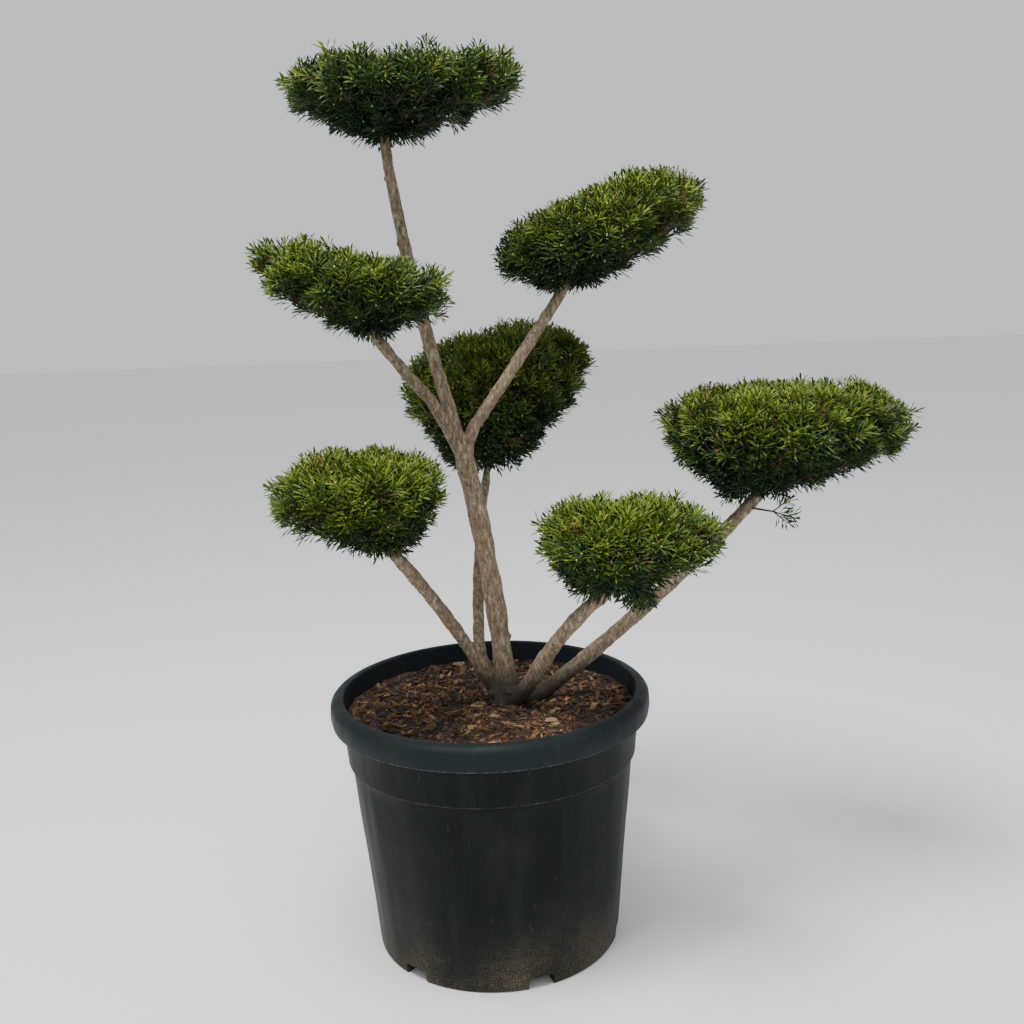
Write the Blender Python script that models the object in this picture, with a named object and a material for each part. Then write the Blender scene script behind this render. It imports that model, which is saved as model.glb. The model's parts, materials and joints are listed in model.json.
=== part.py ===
"""Cloud-pruned farmen hybrid yew in a nursery pot, in metres, +Z up.

The origin is the middle of the pot's underside, on the flat face of its centre boss. The tree
has one root crown: a leaning trunk that forks into a leader and two boughs, and four more stems.
Each of them ends in a clipped mass of needles, broad on top and narrowing down to its limb.
"""
import math
import random

import bmesh
import bpy
from mathutils import Matrix, Vector, noise

GAP = 0.0003                     # hairline between neighbouring pieces
FACETS = 38                      # sides of the turned pot and of the soil in it
GOLDEN_TURN = math.pi * (3.0 - math.sqrt(5.0))

# Pot: a blow-moulded tub with a slightly conical wall, a wider collar and a rolled rim
POT_HEIGHT = 0.328
RIM_RADIUS = 0.200
RIM_DEPTH = 0.031
LIP_RADIUS = 0.1826
COLLAR_BOTTOM = 0.247
COLLAR_LOW_RADIUS = 0.1813
COLLAR_TOP_RADIUS = 0.1860
BODY_TOP_RADIUS = 0.1776
FOOT_RADIUS = 0.1548
WALL = 0.0034
COLLAR_WALL = 0.0012
STEP_BELOW = 0.003               # the inner wall steps out from here below the collar's edge
STEP_ABOVE = 0.008               # to here above it
LIP_DEPTH = 0.004
RIM_BEAD = 0.0125
RIM_UNDERCUT = 0.0026
RIM_UNDERCUT_DEPTH = 0.010
FOOT_CORNER = 0.0035
DRAFT = 0.002                    # slant of the boss, of the foot ring and of the lip
FLOOR_UNDERSIDE = 0.016
FLOOR_THICKNESS = 0.003
FOOT_RING_INNER = 0.134
BOSS_RADIUS = 0.030
NOTCHES = 6
NOTCH_WIDTH = 0.033
NOTCH_HEIGHT = 0.015
NOTCH_CORNER = 0.005
NOTCH_TURN = math.radians(227.75)

# Soil: bark mix, mounded a little round the stems and level under the root crown
GROUND = 0.313
SOIL_EDGE = 0.3055
LEVEL_RADIUS = 0.088
LEVEL_CENTRE = Vector((0.028, -0.010))
SOIL_SHOULDER = 0.07              # the level part runs out to the edge over this width
SOIL_RINGS = (0.160, 0.130, 0.100, 0.066, 0.033, 0.0)
SOIL_ROUGHNESS = 0.0022
SOIL_GRAIN = 38.0

# Root crown, where every stem starts
CROWN = Vector((0.022, -0.010, GROUND - 0.006))
FLARE = 0.0105
FLARE_HEIGHT = 0.020
TRUNK_RADIUS = (0.0128, 0.0118)
FORK = Vector((-0.0225, 0.020, 0.632))
TRUNK_BOW = Vector((0.0070, 0.0, 0.0))
TRUNK_STEPS = 9
CROWN_DEPTH = 0.012
LIMB_SIDES = 9
LIMB_STEP = 0.045
STUB_SHARE = 0.93                # the boughs leave the trunk at this share of its height
STUB_BEND = 0.72
STUB_STRAIGHT = 0.012
STUB_SWELL = {"crown": 1.12, "fork": 1.05}
STUB_TAPER = 1.04

# Limbs: foot, tip, how far the middle stands off the straight line, radius at foot and at tip
LIMBS = {
    "leader": {
        "foot": (-0.0400, 0.0205, 0.698), "tip": (-0.0960, 0.0300, 0.9930),
        "bow": (-0.0060, 0.0060, 0.0), "radii": (0.0080, 0.0064), "from": "fork"},
    "left_bough": {
        "foot": (-0.0545, -0.0020, 0.689), "tip": (-0.1060, -0.0580, 0.7620),
        "bow": (-0.0010, 0.0010, 0.0), "radii": (0.0072, 0.0062), "from": "fork"},
    "right_bough": {
        "foot": (-0.0050, 0.0240, 0.655), "tip": (0.1070, 0.0600, 0.8090),
        "bow": (0.0005, 0.0010, -0.0010), "radii": (0.0075, 0.0068), "from": "fork"},
    "rear_stem": {
        "foot": (-0.0105, 0.0260, 0.361), "tip": (0.0070, 0.1400, 0.5700),
        "bow": (-0.0060, 0.0040, -0.0030), "radii": (0.0080, 0.0056), "from": "crown"},
    "left_stem": {
        "foot": (-0.0150, -0.0145, 0.368), "tip": (-0.0938, -0.0900, 0.5120),
        "bow": (0.0010, 0.0020, 0.0030), "radii": (0.0084, 0.0080), "from": "crown"},
    "front_stem": {
        "foot": (0.0490, -0.0450, 0.345), "tip": (0.1298, -0.1200, 0.4700),
        "bow": (-0.0035, 0.0016, 0.0055), "radii": (0.0096, 0.0083), "from": "crown"},
    "right_stem": {
        "foot": (0.0740, -0.0100, 0.3265), "tip": (0.3346, 0.0100, 0.5480),
        "bow": (0.0050, 0.0030, -0.0055), "radii": (0.0098, 0.0079), "from": "crown"},
}

# Masses: the limb that carries each, the middle of its top, half its width and depth, the slope
# of its top towards +X, the height share where it is widest, how its flank opens out from the
# limb, how wide it starts, and how many sprays stand on it
MASSES = {
    "top_pad": {
        "limb": "leader", "top": (-0.073, 0.030, 1.095), "half": (0.150, 0.127),
        "slope": 0.0, "widest": 0.74, "flank": 0.70, "waist": 0.20, "sprays": 50},
    "upper_left_pad": {
        "limb": "left_bough", "top": (-0.135, -0.076, 0.884), "half": (0.114, 0.086),
        "slope": -0.15, "widest": 0.70, "flank": 0.88, "waist": 0.12, "sprays": 42},
    "upper_right_pad": {
        "limb": "right_bough", "top": (0.157, 0.068, 0.948), "half": (0.136, 0.107),
        "slope": 0.26, "widest": 0.56, "flank": 0.90, "waist": 0.22, "sprays": 48},
    "rear_pad": {
        "limb": "rear_stem", "top": (0.025, 0.195, 0.784), "half": (0.134, 0.120),
        "slope": 0.13, "widest": 0.64, "flank": 0.48, "waist": 0.28, "sprays": 54},
    "lower_left_pad": {
        "limb": "left_stem", "top": (-0.140, -0.122, 0.665), "half": (0.102, 0.095),
        "slope": 0.08, "widest": 0.62, "flank": 0.75, "waist": 0.24, "sprays": 44},
    "front_pad": {
        "limb": "front_stem", "top": (0.164, -0.134, 0.600), "half": (0.112, 0.100),
        "slope": -0.04, "widest": 0.58, "flank": 0.62, "waist": 0.32, "sprays": 44},
    "right_pad": {
        "limb": "right_stem", "top": (0.379, 0.022, 0.708), "half": (0.163, 0.130),
        "slope": -0.03, "widest": 0.58, "flank": 0.75, "waist": 0.26, "sprays": 54},
}
TOP_ROUNDNESS = 2.9              # exponent of the rounded top, 2 is an ellipse
FOCUS_SHARE = 0.34               # height share where the limb's stem ends inside the mass
CORE_INSET = 0.036               # the leafy core lies this far inside the needle tips
CORE_TOP_INSET = 0.033
CORE_LEAST_SHARE = 0.40
CORE_LOWEST = 0.20               # height share where the core starts
CORE_LEVELS = (0.0, 0.30, 0.62, 0.88, 1.0)
CORE_SIDES = 13
CORE_LUMP = 0.010
RIM_SHARE = 0.34                 # share of the sprays that stand in a ring round the rim
SPIRAL_LOWEST = 0.06             # height share where the other sprays start
TIP_SCATTER = 0.005
TURN_SCATTER = 0.08
LIMB_CLEARANCE = 0.006
STEM_SIDES = 6
STEM_STRAIGHT = 0.012
STEM_TIP_RADIUS = 0.003
STEM_RISE = 0.15                 # the stem goes on past the focus by this share of the way up

# Needles: a spray is a blade on a thin stalk, with a tooth for each group of needles, its
# outline given as (share of its length, share of its length off the middle)
SPRAY_LONGEST = 0.060
SPRAY_SUNK = 0.010
SPRAY_LEAN = 0.45                # how far a spray leans up and aside from straight out
SPRAY_THICKNESS = 0.0026
SPRAY_RIDGE = 0.44
STALK = (0.28, 0.045)
TOOTH = (0.66, 0.36)
NOTCH = (0.64, 0.11)
TWIGS = 4
TWIG_RADII = (0.0026, 0.0015)
TWIG_REACH = 0.66


def clear_scene():
    """Start from an empty scene."""
    for item in list(bpy.data.objects):
        bpy.data.objects.remove(item, do_unlink=True)


def principled(name, colour, roughness):
    """One Principled material with the colour and roughness of its sub-part."""
    material = bpy.data.materials.new(name)
    material.use_nodes = True
    shader = material.node_tree.nodes["Principled BSDF"]
    shader.inputs["Base Color"].default_value = (*colour, 1.0)
    shader.inputs["Roughness"].default_value = roughness
    shader.inputs["Metallic"].default_value = 0.0
    return material


def new_object(name, bm, material=None):
    """Turn a bmesh into a named object of the scene."""
    bmesh.ops.recalc_face_normals(bm, faces=bm.faces)
    mesh = bpy.data.meshes.new(name)
    bm.to_mesh(mesh)
    bm.free()
    if material:
        mesh.materials.append(material)
    item = bpy.data.objects.new(name, mesh)
    bpy.context.scene.collection.objects.link(item)
    return item


def combine(item, others, operation="UNION"):
    """Apply one Boolean with a collection of the others, then remove the others."""
    group = bpy.data.collections.new(item.name + "_pieces")
    bpy.context.scene.collection.children.link(group)
    for other in others:
        bpy.context.scene.collection.objects.unlink(other)
        group.objects.link(other)
    modifier = item.modifiers.new("combine", "BOOLEAN")
    modifier.operand_type = "COLLECTION"
    modifier.collection = group
    modifier.operation = operation
    graph = bpy.context.evaluated_depsgraph_get()
    mesh = bpy.data.meshes.new_from_object(item.evaluated_get(graph), depsgraph=graph)
    item.modifiers.clear()
    item.data = mesh
    for other in others:
        bpy.data.objects.remove(other, do_unlink=True)
    bpy.data.collections.remove(group)


def turned(profile, sides=FACETS):
    """Spin a closed outline of (radius, height) points round the Z axis."""
    bm = bmesh.new()
    ring = [bm.verts.new((radius, 0.0, height)) for radius, height in profile]
    edges = [bm.edges.new(pair) for pair in zip(ring, ring[1:])]
    if profile[0][0] > 0.0:
        edges.append(bm.edges.new((ring[-1], ring[0])))
    bmesh.ops.spin(bm, geom=ring + edges, cent=(0, 0, 0), axis=(0, 0, 1),
                   angle=2.0 * math.pi, steps=sides, use_merge=True)
    bmesh.ops.remove_doubles(bm, verts=bm.verts, dist=0.00002)
    return bm


def arc(centre, radius, start, end, steps):
    """Points of an arc in the (radius, height) plane, angles in degrees."""
    points = []
    for step in range(steps + 1):
        angle = math.radians(start + (end - start) * step / steps)
        points.append((centre[0] + radius * math.cos(angle), centre[1] + radius * math.sin(angle)))
    return points


def inner_wall():
    """Inside of the pot from the lip down to the floor, as (radius, height) points."""
    floor_top = FLOOR_UNDERSIDE + FLOOR_THICKNESS
    slope = (BODY_TOP_RADIUS - FOOT_RADIUS) / COLLAR_BOTTOM
    return [(LIP_RADIUS, POT_HEIGHT - LIP_DEPTH),
            (COLLAR_LOW_RADIUS - COLLAR_WALL, COLLAR_BOTTOM + STEP_ABOVE),
            (BODY_TOP_RADIUS - WALL, COLLAR_BOTTOM - STEP_BELOW),
            (FOOT_RADIUS + slope * floor_top - WALL, floor_top)]


def build_pot():
    """The pot: turned shell, then six notches cut through the foot ring."""
    rim_bottom = POT_HEIGHT - RIM_DEPTH
    outline = [(0.0, 0.0), (BOSS_RADIUS, 0.0), (BOSS_RADIUS + DRAFT, FLOOR_UNDERSIDE),
               (FOOT_RING_INNER - DRAFT, FLOOR_UNDERSIDE), (FOOT_RING_INNER, 0.0)]
    outline += arc((FOOT_RADIUS - FOOT_CORNER, FOOT_CORNER), FOOT_CORNER, -90, 0, 3)
    outline += [(BODY_TOP_RADIUS, COLLAR_BOTTOM - DRAFT / 2.0), (COLLAR_LOW_RADIUS, COLLAR_BOTTOM),
                (COLLAR_TOP_RADIUS, rim_bottom + DRAFT / 2.0),
                (RIM_RADIUS - RIM_UNDERCUT, rim_bottom),
                (RIM_RADIUS, rim_bottom + RIM_UNDERCUT_DEPTH)]
    outline += arc((RIM_RADIUS - RIM_BEAD, POT_HEIGHT - RIM_BEAD), RIM_BEAD, 22, 90, 4)
    outline += [(LIP_RADIUS + DRAFT, POT_HEIGHT)]
    outline += inner_wall()
    outline += [(0.0, FLOOR_UNDERSIDE + FLOOR_THICKNESS)]
    pot = new_object("pot", turned(outline), principled("pot_plastic", (0.022, 0.030, 0.030), 0.55))
    notches = [notch_cutter(NOTCH_TURN + math.tau * index / NOTCHES) for index in range(NOTCHES)]
    combine(pot, notches, "DIFFERENCE")
    return pot


def notch_cutter(turn):
    """An arch-shaped bar that crosses the foot ring at the given turn round the pot."""
    bm = bmesh.new()
    half, corner = NOTCH_WIDTH / 2.0, NOTCH_CORNER
    inner, outer = FOOT_RING_INNER - NOTCH_HEIGHT, FOOT_RADIUS + NOTCH_HEIGHT
    outline = [(half, -NOTCH_HEIGHT)]
    outline += arc((half - corner, NOTCH_HEIGHT - corner), corner, 0, 90, 3)
    outline += arc((corner - half, NOTCH_HEIGHT - corner), corner, 90, 180, 3)
    outline += [(-half, -NOTCH_HEIGHT)]
    verts = [bm.verts.new((inner, across, height)) for across, height in outline]
    face = bm.faces.new(verts)
    swept = bmesh.ops.extrude_face_region(bm, geom=[face])["geom"]
    moved = [part for part in swept if isinstance(part, bmesh.types.BMVert)]
    bmesh.ops.translate(bm, verts=moved, vec=(outer - inner, 0.0, 0.0))
    bmesh.ops.rotate(bm, verts=bm.verts, matrix=Matrix.Rotation(turn, 3, "Z"))
    return new_object("notch", bm)


def build_soil():
    """Soil that fills the pot, with a rough top that is level under the root crown."""
    lip, collar, body, floor = inner_wall()
    share = (lip[1] - SOIL_EDGE) / (lip[1] - collar[1])
    edge_radius = lip[0] + (collar[0] - lip[0]) * share
    outline = [(0.0, floor[1] + GAP)]
    outline += [(radius - GAP, height) for radius, height in
                ((floor[0], floor[1] + GAP), body, collar, (edge_radius, SOIL_EDGE))]
    outline += [(radius, SOIL_EDGE) for radius in SOIL_RINGS]
    bm = turned(outline)
    for vert in bm.verts:
        if vert.co.z < SOIL_EDGE - GAP or vert.co.xy.length > SOIL_RINGS[0] + GAP:
            continue
        away = (vert.co.xy - LEVEL_CENTRE).length
        if away < LEVEL_RADIUS:
            vert.co.z = GROUND
            continue
        fade = min(1.0, (away - LEVEL_RADIUS) / SOIL_SHOULDER)
        lump = noise.noise(vert.co * SOIL_GRAIN) * SOIL_ROUGHNESS
        vert.co.z = GROUND + (SOIL_EDGE - GROUND) * fade - abs(lump)
    return new_object("soil", bm, principled("soil_mix", (0.10, 0.052, 0.026), 0.95))


def along(limb, share):
    """Point on a limb's centre line, share 0 at its foot and 1 at its tip."""
    foot, tip, bow = Vector(limb["foot"]), Vector(limb["tip"]), Vector(limb["bow"])
    return foot.lerp(tip, share) + bow * (4.0 * share * (1.0 - share))


def heading(limb, share):
    """Unit direction of a limb's centre line, towards its tip."""
    chord = Vector(limb["tip"]) - Vector(limb["foot"])
    return (chord + Vector(limb["bow"]) * (4.0 - 8.0 * share)).normalized()


def tube(points, radii, sides, headings=None):
    """A tapering tube through the points, closed by flat ends square to it."""
    if headings is None:
        headings = []
        for index in range(len(points)):
            before, after = points[max(index - 1, 0)], points[min(index + 1, len(points) - 1)]
            headings.append((after - before).normalized())
    bm = bmesh.new()
    turn = headings[0].to_track_quat("Z", "Y")
    rings = []
    for index, (point, radius) in enumerate(zip(points, radii)):
        if index:
            turn = headings[index - 1].rotation_difference(headings[index]) @ turn
        place = Matrix.Translation(point) @ turn.to_matrix().to_4x4()
        ring = bmesh.ops.create_circle(bm, segments=sides, radius=radius, matrix=place)["verts"]
        rings.append(ring)
    for lower, upper in zip(rings, rings[1:]):
        edges = {edge for vert in lower + upper for edge in vert.link_edges
                 if edge.other_vert(vert) in lower or edge.other_vert(vert) in upper}
        sides_only = [edge for edge in edges
                      if (edge.verts[0] in lower) == (edge.verts[1] in lower)]
        bmesh.ops.bridge_loops(bm, edges=sides_only)
    for ring in (rings[0], rings[-1]):
        bmesh.ops.contextual_create(bm, geom=ring)
    return bm


def build_limb(name, material):
    """One tapering limb, from its foot to the mass that it carries."""
    limb = LIMBS[name]
    length = (Vector(limb["tip"]) - Vector(limb["foot"])).length
    steps = max(4, round(length / LIMB_STEP))
    shares = [step / steps for step in range(steps + 1)]
    foot, tip = limb["radii"]
    bm = tube([along(limb, share) for share in shares],
              [foot + (tip - foot) * share for share in shares],
              LIMB_SIDES, [heading(limb, share) for share in shares])
    return new_object(name, bm, material)


def trunk_line(share):
    """Point on the trunk's centre line, share 0 at the root crown and 1 at the fork."""
    return CROWN.lerp(FORK, share) + TRUNK_BOW * (4.0 * share * (1.0 - share))


def build_trunk(material):
    """Trunk with its root flare, its fork, and a stub for each limb, cut flat at the ground."""
    below = CROWN - Vector((0.0, 0.0, CROWN_DEPTH))
    points = [below] + [trunk_line(step / TRUNK_STEPS) for step in range(TRUNK_STEPS + 1)]
    radii = []
    for point in points:
        height = max(point.z - GROUND, 0.0)
        share = height / (FORK.z - GROUND)
        taper = TRUNK_RADIUS[0] + (TRUNK_RADIUS[1] - TRUNK_RADIUS[0]) * share
        radii.append(taper + FLARE * math.exp(-height / FLARE_HEIGHT))
    trunk = new_object("trunk", tube(points, radii, LIMB_SIDES + 1), material)
    stubs = []
    for name, limb in LIMBS.items():
        foot, way = Vector(limb["foot"]), heading(limb, 0.0)
        start = CROWN if limb["from"] == "crown" else trunk_line(STUB_SHARE)
        end = foot - way * GAP
        bend = start.lerp(end - way * STUB_STRAIGHT, STUB_BEND)
        radius = limb["radii"][0]
        swollen = radius * STUB_SWELL[limb["from"]]
        bm = tube([start, bend, end], [swollen * STUB_TAPER, swollen, radius],
                  LIMB_SIDES, [(bend - start).normalized(), way, way])
        stubs.append(new_object("stub_" + name, bm))
    combine(trunk, stubs)
    bm = bmesh.new()
    bm.from_mesh(trunk.data)
    cut = bmesh.ops.bisect_plane(bm, geom=bm.verts[:] + bm.edges[:] + bm.faces[:], dist=0.00001,
                                 plane_co=(0.0, 0.0, GROUND + GAP), plane_no=(0, 0, 1),
                                 clear_inner=True)
    rim = [part for part in cut["geom_cut"] if isinstance(part, bmesh.types.BMEdge)]
    bmesh.ops.edgeloop_fill(bm, edges=rim)
    bmesh.ops.dissolve_degenerate(bm, dist=0.00005, edges=bm.edges)
    bmesh.ops.recalc_face_normals(bm, faces=bm.faces)
    bm.to_mesh(trunk.data)
    bm.free()
    return trunk


class Mass:
    """The space of one clipped mass: a skewed bell that opens upwards from its limb's tip."""

    def __init__(self, name):
        sizes = MASSES[name]
        limb = LIMBS[sizes["limb"]]
        self.name = name
        self.sprays = sizes["sprays"]
        self.slope = sizes["slope"]
        self.widest = sizes["widest"]
        self.flank = sizes["flank"]
        self.waist = sizes["waist"]
        self.half = sizes["half"]
        self.tip = Vector(limb["tip"])
        self.way = heading(limb, 1.0)
        self.limb_radius = limb["radii"][1]
        self.top = Vector(sizes["top"])
        self.height = self.top.z - self.tip.z
        self.focus = self.point(FOCUS_SHARE, 0.0, 0.0)
        self.random = random.Random(name)

    def girth(self, share):
        """Half-width at a height share, as a share of the widest."""
        if share < self.widest:
            return self.waist + (1.0 - self.waist) * max(share / self.widest, 0.0) ** self.flank
        dome = min((share - self.widest) / (1.0 - self.widest), 1.0)
        return (1.0 - dome ** TOP_ROUNDNESS) ** (1.0 / TOP_ROUNDNESS)

    def point(self, share, turn, out):
        """Point of the space at a height share and a turn round it, out = 1 on its surface."""
        lean = min(share / self.widest, 1.0)
        reach = self.girth(share) * out
        x = self.tip.x + (self.top.x - self.tip.x) * lean + self.half[0] * reach * math.cos(turn)
        y = self.tip.y + (self.top.y - self.tip.y) * lean + self.half[1] * reach * math.sin(turn)
        z = self.tip.z + self.height * share + lean * self.slope * (x - self.top.x)
        return Vector((x, y, z))

    def rim(self, count):
        """Evenly spaced spots round the widest girth: (height share, turn)."""
        return [(self.widest, math.tau * index / count) for index in range(count)]

    def spiral(self, count):
        """Evenly spread spots on the surface, along a golden-angle spiral up to the top."""
        steps = 200
        shares = [SPIRAL_LOWEST + (1.0 - SPIRAL_LOWEST) * step / steps for step in range(steps + 1)]
        area = [0.0]
        for low, high in zip(shares, shares[1:]):
            rise = (high - low) * self.height
            spread = (self.girth(high) - self.girth(low)) * self.half[0]
            area.append(area[-1] + math.hypot(rise, spread) * (self.girth(high) + self.girth(low)))
        spots = []
        for index in range(count):
            wanted = area[-1] * (index + 0.5) / count
            place = next(step for step, value in enumerate(area) if value >= wanted)
            spots.append((shares[place], index * GOLDEN_TURN))
        return spots

    def holds(self, spot):
        """Whether a point lies in the space."""
        share = (spot.z - self.tip.z) / self.height
        for _ in range(6):
            lean = min(max(share, 0.0) / self.widest, 1.0)
            share = (spot.z - lean * self.slope * (spot.x - self.top.x) - self.tip.z) / self.height
        if not 0.0 <= share <= 1.0:
            return False
        lean = min(share / self.widest, 1.0)
        across = (spot.x - self.tip.x - (self.top.x - self.tip.x) * lean) / self.half[0]
        deep = (spot.y - self.tip.y - (self.top.y - self.tip.y) * lean) / self.half[1]
        return math.hypot(across, deep) <= self.girth(share)


def fits(mass, start, end):
    """Whether a straight shoot keeps to its mass's space and clear of every limb."""
    return mass.holds(start.lerp(end, 0.5)) and not touches_limb(start, end)


def touches_limb(start, end):
    """Whether a straight shoot comes too near a limb or the trunk."""
    for step in range(6):
        spot = start.lerp(end, step / 5.0)
        for limb in LIMBS.values():
            foot, tip = limb["radii"]
            for index in range(15):
                share = index / 14.0
                keep = foot + (tip - foot) * share + LIMB_CLEARANCE
                if (along(limb, share) - spot).length < keep:
                    return True
        for index in range(21):
            if (trunk_line(index / 20.0) - spot).length < TRUNK_RADIUS[0] + LIMB_CLEARANCE:
                return True
    return False


def spray_blade(root, tip, roll):
    """A flat shoot of needles: a three-toothed blade on a stalk, thickest on its ridge."""
    length = (tip - root).length
    outline = [(0.0, 0.0), STALK, TOOTH, NOTCH, (1.0, 0.0)]
    outline += [(run, -across) for run, across in reversed(outline[1:-1])]
    bm = bmesh.new()
    rim = [bm.verts.new((across * length, 0.0, run * length)) for run, across in outline]
    for side in (-1.0, 1.0):
        crest = bm.verts.new((0.0, side * SPRAY_THICKNESS / 2.0, SPRAY_RIDGE * length))
        for index, vert in enumerate(rim):
            bm.faces.new((crest, vert, rim[(index + 1) % len(rim)]))
    turn = (tip - root).to_track_quat("Z", "Y").to_matrix().to_4x4()
    place = Matrix.Translation(root) @ turn @ Matrix.Rotation(roll, 4, "Z")
    bmesh.ops.transform(bm, matrix=place, verts=bm.verts)
    return new_object("spray", bm)


def build_core(mass, material):
    """The close leafy middle of a clipped mass: lumpy rings well inside the needle tips."""
    highest = 1.0 - CORE_TOP_INSET / mass.height
    bm = bmesh.new()
    rings = []
    for level in CORE_LEVELS:
        share = CORE_LOWEST + (highest - CORE_LOWEST) * level
        out = max(1.0 - CORE_INSET / (mass.girth(share) * mass.half[0]), CORE_LEAST_SHARE)
        ring = []
        for index in range(CORE_SIDES):
            spot = mass.point(share, math.tau * (index + level) / CORE_SIDES, out)
            spot += (spot - mass.focus).normalized() * CORE_LUMP * noise.noise(spot * 24.0)
            ring.append(bm.verts.new(spot))
        rings.append([bm.edges.new((vert, ring[index - 1])) for index, vert in enumerate(ring)])
    for lower, upper in zip(rings, rings[1:]):
        bmesh.ops.bridge_loops(bm, edges=lower + upper)
    for ring in (rings[0], rings[-1]):
        closed = bmesh.ops.edgeloop_fill(bm, edges=ring)
        bmesh.ops.poke(bm, faces=closed["faces"])
    bmesh.ops.triangulate(bm, faces=bm.faces)
    return new_object(mass.name, bm, material)


def build_mass(name, material):
    """A clipped mass: the stem inside it, twigs, core and sprays, joined into one solid."""
    mass = Mass(name)
    core = build_core(mass, material)
    start = mass.tip + mass.way * GAP
    bend = start + mass.way * STEM_STRAIGHT
    end = mass.focus.lerp(mass.top, STEM_RISE)
    stem = tube([start, bend, end], [mass.limb_radius, mass.limb_radius * 0.9, STEM_TIP_RADIUS],
                STEM_SIDES, [mass.way, mass.way, (end - bend).normalized()])
    pieces = [new_object("stem", stem)]
    for index in range(TWIGS):
        turn = index * GOLDEN_TURN + mass.random.uniform(-0.3, 0.3)
        root = bend.lerp(end, 0.10 + 0.45 * index / TWIGS)
        tip = mass.point(mass.widest * mass.random.uniform(0.55, 0.9), turn, TWIG_REACH)
        if fits(mass, root.lerp(tip, 0.45), tip):
            pieces.append(new_object("twig", tube([root, tip], TWIG_RADII, 3)))
    on_rim = round(mass.sprays * RIM_SHARE)
    for share, turn in mass.rim(on_rim) + mass.spiral(mass.sprays - on_rim):
        tip = mass.point(share, turn + mass.random.uniform(-TURN_SCATTER, TURN_SCATTER), 1.0)
        out = (tip - mass.focus).normalized()
        tip += out * mass.random.uniform(-TIP_SCATTER, TIP_SCATTER)
        side = out.cross(Vector((0.0, 0.0, 1.0))).normalized() * mass.random.uniform(-1.0, 1.0)
        lean = (side + Vector((0.0, 0.0, 1.0 - out.z))) * SPRAY_LEAN
        roll = mass.random.uniform(0.0, math.pi)
        for way in ((out + lean).normalized(), out):
            hit, met, _, _ = core.ray_cast(tip, -way)
            if hit and (met - tip).length < SPRAY_LONGEST and fits(mass, met, tip):
                pieces.append(spray_blade(met - way * SPRAY_SUNK, tip, roll))
                break
    combine(core, pieces)
    drop_scraps(core)
    return core


def drop_scraps(item):
    """Keep the one body that holds the mass together."""
    bm = bmesh.new()
    bm.from_mesh(item.data)
    left = set(bm.verts)
    bodies = []
    while left:
        stack = [left.pop()]
        body = set(stack)
        while stack:
            for edge in stack.pop().link_edges:
                for vert in edge.verts:
                    if vert not in body:
                        body.add(vert)
                        stack.append(vert)
        left -= body
        bodies.append(body)
    bodies.sort(key=len)
    for body in bodies[:-1]:
        bmesh.ops.delete(bm, geom=list(body), context="VERTS")
    bm.to_mesh(item.data)
    bm.free()


clear_scene()
build_pot()
build_soil()
bark = principled("bark", (0.23, 0.17, 0.12), 0.85)
needles = principled("needles", (0.035, 0.085, 0.014), 0.60)
build_trunk(bark)
for limb_name in LIMBS:
    build_limb(limb_name, bark)
for mass_name in MASSES:
    build_mass(mass_name, needles)
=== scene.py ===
import json
import math
import random

import bmesh
import bpy
import numpy as np
from mathutils import Matrix, Vector, noise

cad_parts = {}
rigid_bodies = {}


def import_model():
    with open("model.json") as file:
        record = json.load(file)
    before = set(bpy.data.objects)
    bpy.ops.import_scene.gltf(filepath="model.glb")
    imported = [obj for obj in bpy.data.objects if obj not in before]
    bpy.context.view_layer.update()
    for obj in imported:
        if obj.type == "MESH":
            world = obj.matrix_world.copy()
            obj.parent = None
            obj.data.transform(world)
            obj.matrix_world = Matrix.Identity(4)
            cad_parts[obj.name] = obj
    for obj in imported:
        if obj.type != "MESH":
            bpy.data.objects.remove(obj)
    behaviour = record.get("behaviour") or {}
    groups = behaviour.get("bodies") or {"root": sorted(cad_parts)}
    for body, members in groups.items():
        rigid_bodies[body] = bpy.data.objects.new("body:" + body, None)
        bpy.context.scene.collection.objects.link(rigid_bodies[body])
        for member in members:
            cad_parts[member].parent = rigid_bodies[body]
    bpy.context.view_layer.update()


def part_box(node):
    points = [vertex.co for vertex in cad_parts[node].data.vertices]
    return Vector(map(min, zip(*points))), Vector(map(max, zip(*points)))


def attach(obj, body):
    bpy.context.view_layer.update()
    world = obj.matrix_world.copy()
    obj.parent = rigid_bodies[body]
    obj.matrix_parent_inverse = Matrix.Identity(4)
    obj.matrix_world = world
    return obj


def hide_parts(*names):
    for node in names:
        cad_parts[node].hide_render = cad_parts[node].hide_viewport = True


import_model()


# Nursery pot: one blow-moulded shell of dark green-black plastic with a rolled rim, a wider
# collar under it, faint upright panels down its body and six drain notches through its foot.
pot_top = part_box("pot")[1]
POT_HEIGHT = pot_top.z
RIM_RADIUS = pot_top.x
RIM_BOTTOM = POT_HEIGHT - 0.031
RIM_BEAD = 0.0125
LIP_RADIUS = 0.1826
COLLAR_BOTTOM = 0.247
COLLAR_LOW_RADIUS = 0.1813
COLLAR_TOP_RADIUS = 0.1860
BODY_TOP_RADIUS = 0.1776
FOOT_RADIUS = 0.1548
FOOT_CORNER = 0.0035
FOOT_RING_INNER = 0.134
FLOOR_UNDERSIDE = 0.016
FLOOR_TOP = 0.019
BOSS_RADIUS = 0.030
POT_STEPS = 180
BODY_LEVELS = 26
PANELS = 12
PANEL_DEPTH = 0.0010
DENT_DEPTH = 0.0007
SHARP_ANGLE = 28
WELD = 0.00002                  # points closer than this are one point
NOTCHES = 6
NOTCH_HALF_WIDTH = 0.0165
NOTCH_HEIGHT = 0.015
NOTCH_CORNER = 0.005
NOTCH_TURN = math.radians(227.75)
NOTCH_REACH = 0.045
BLACK = (0.0, 0.0, 0.0)
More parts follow.
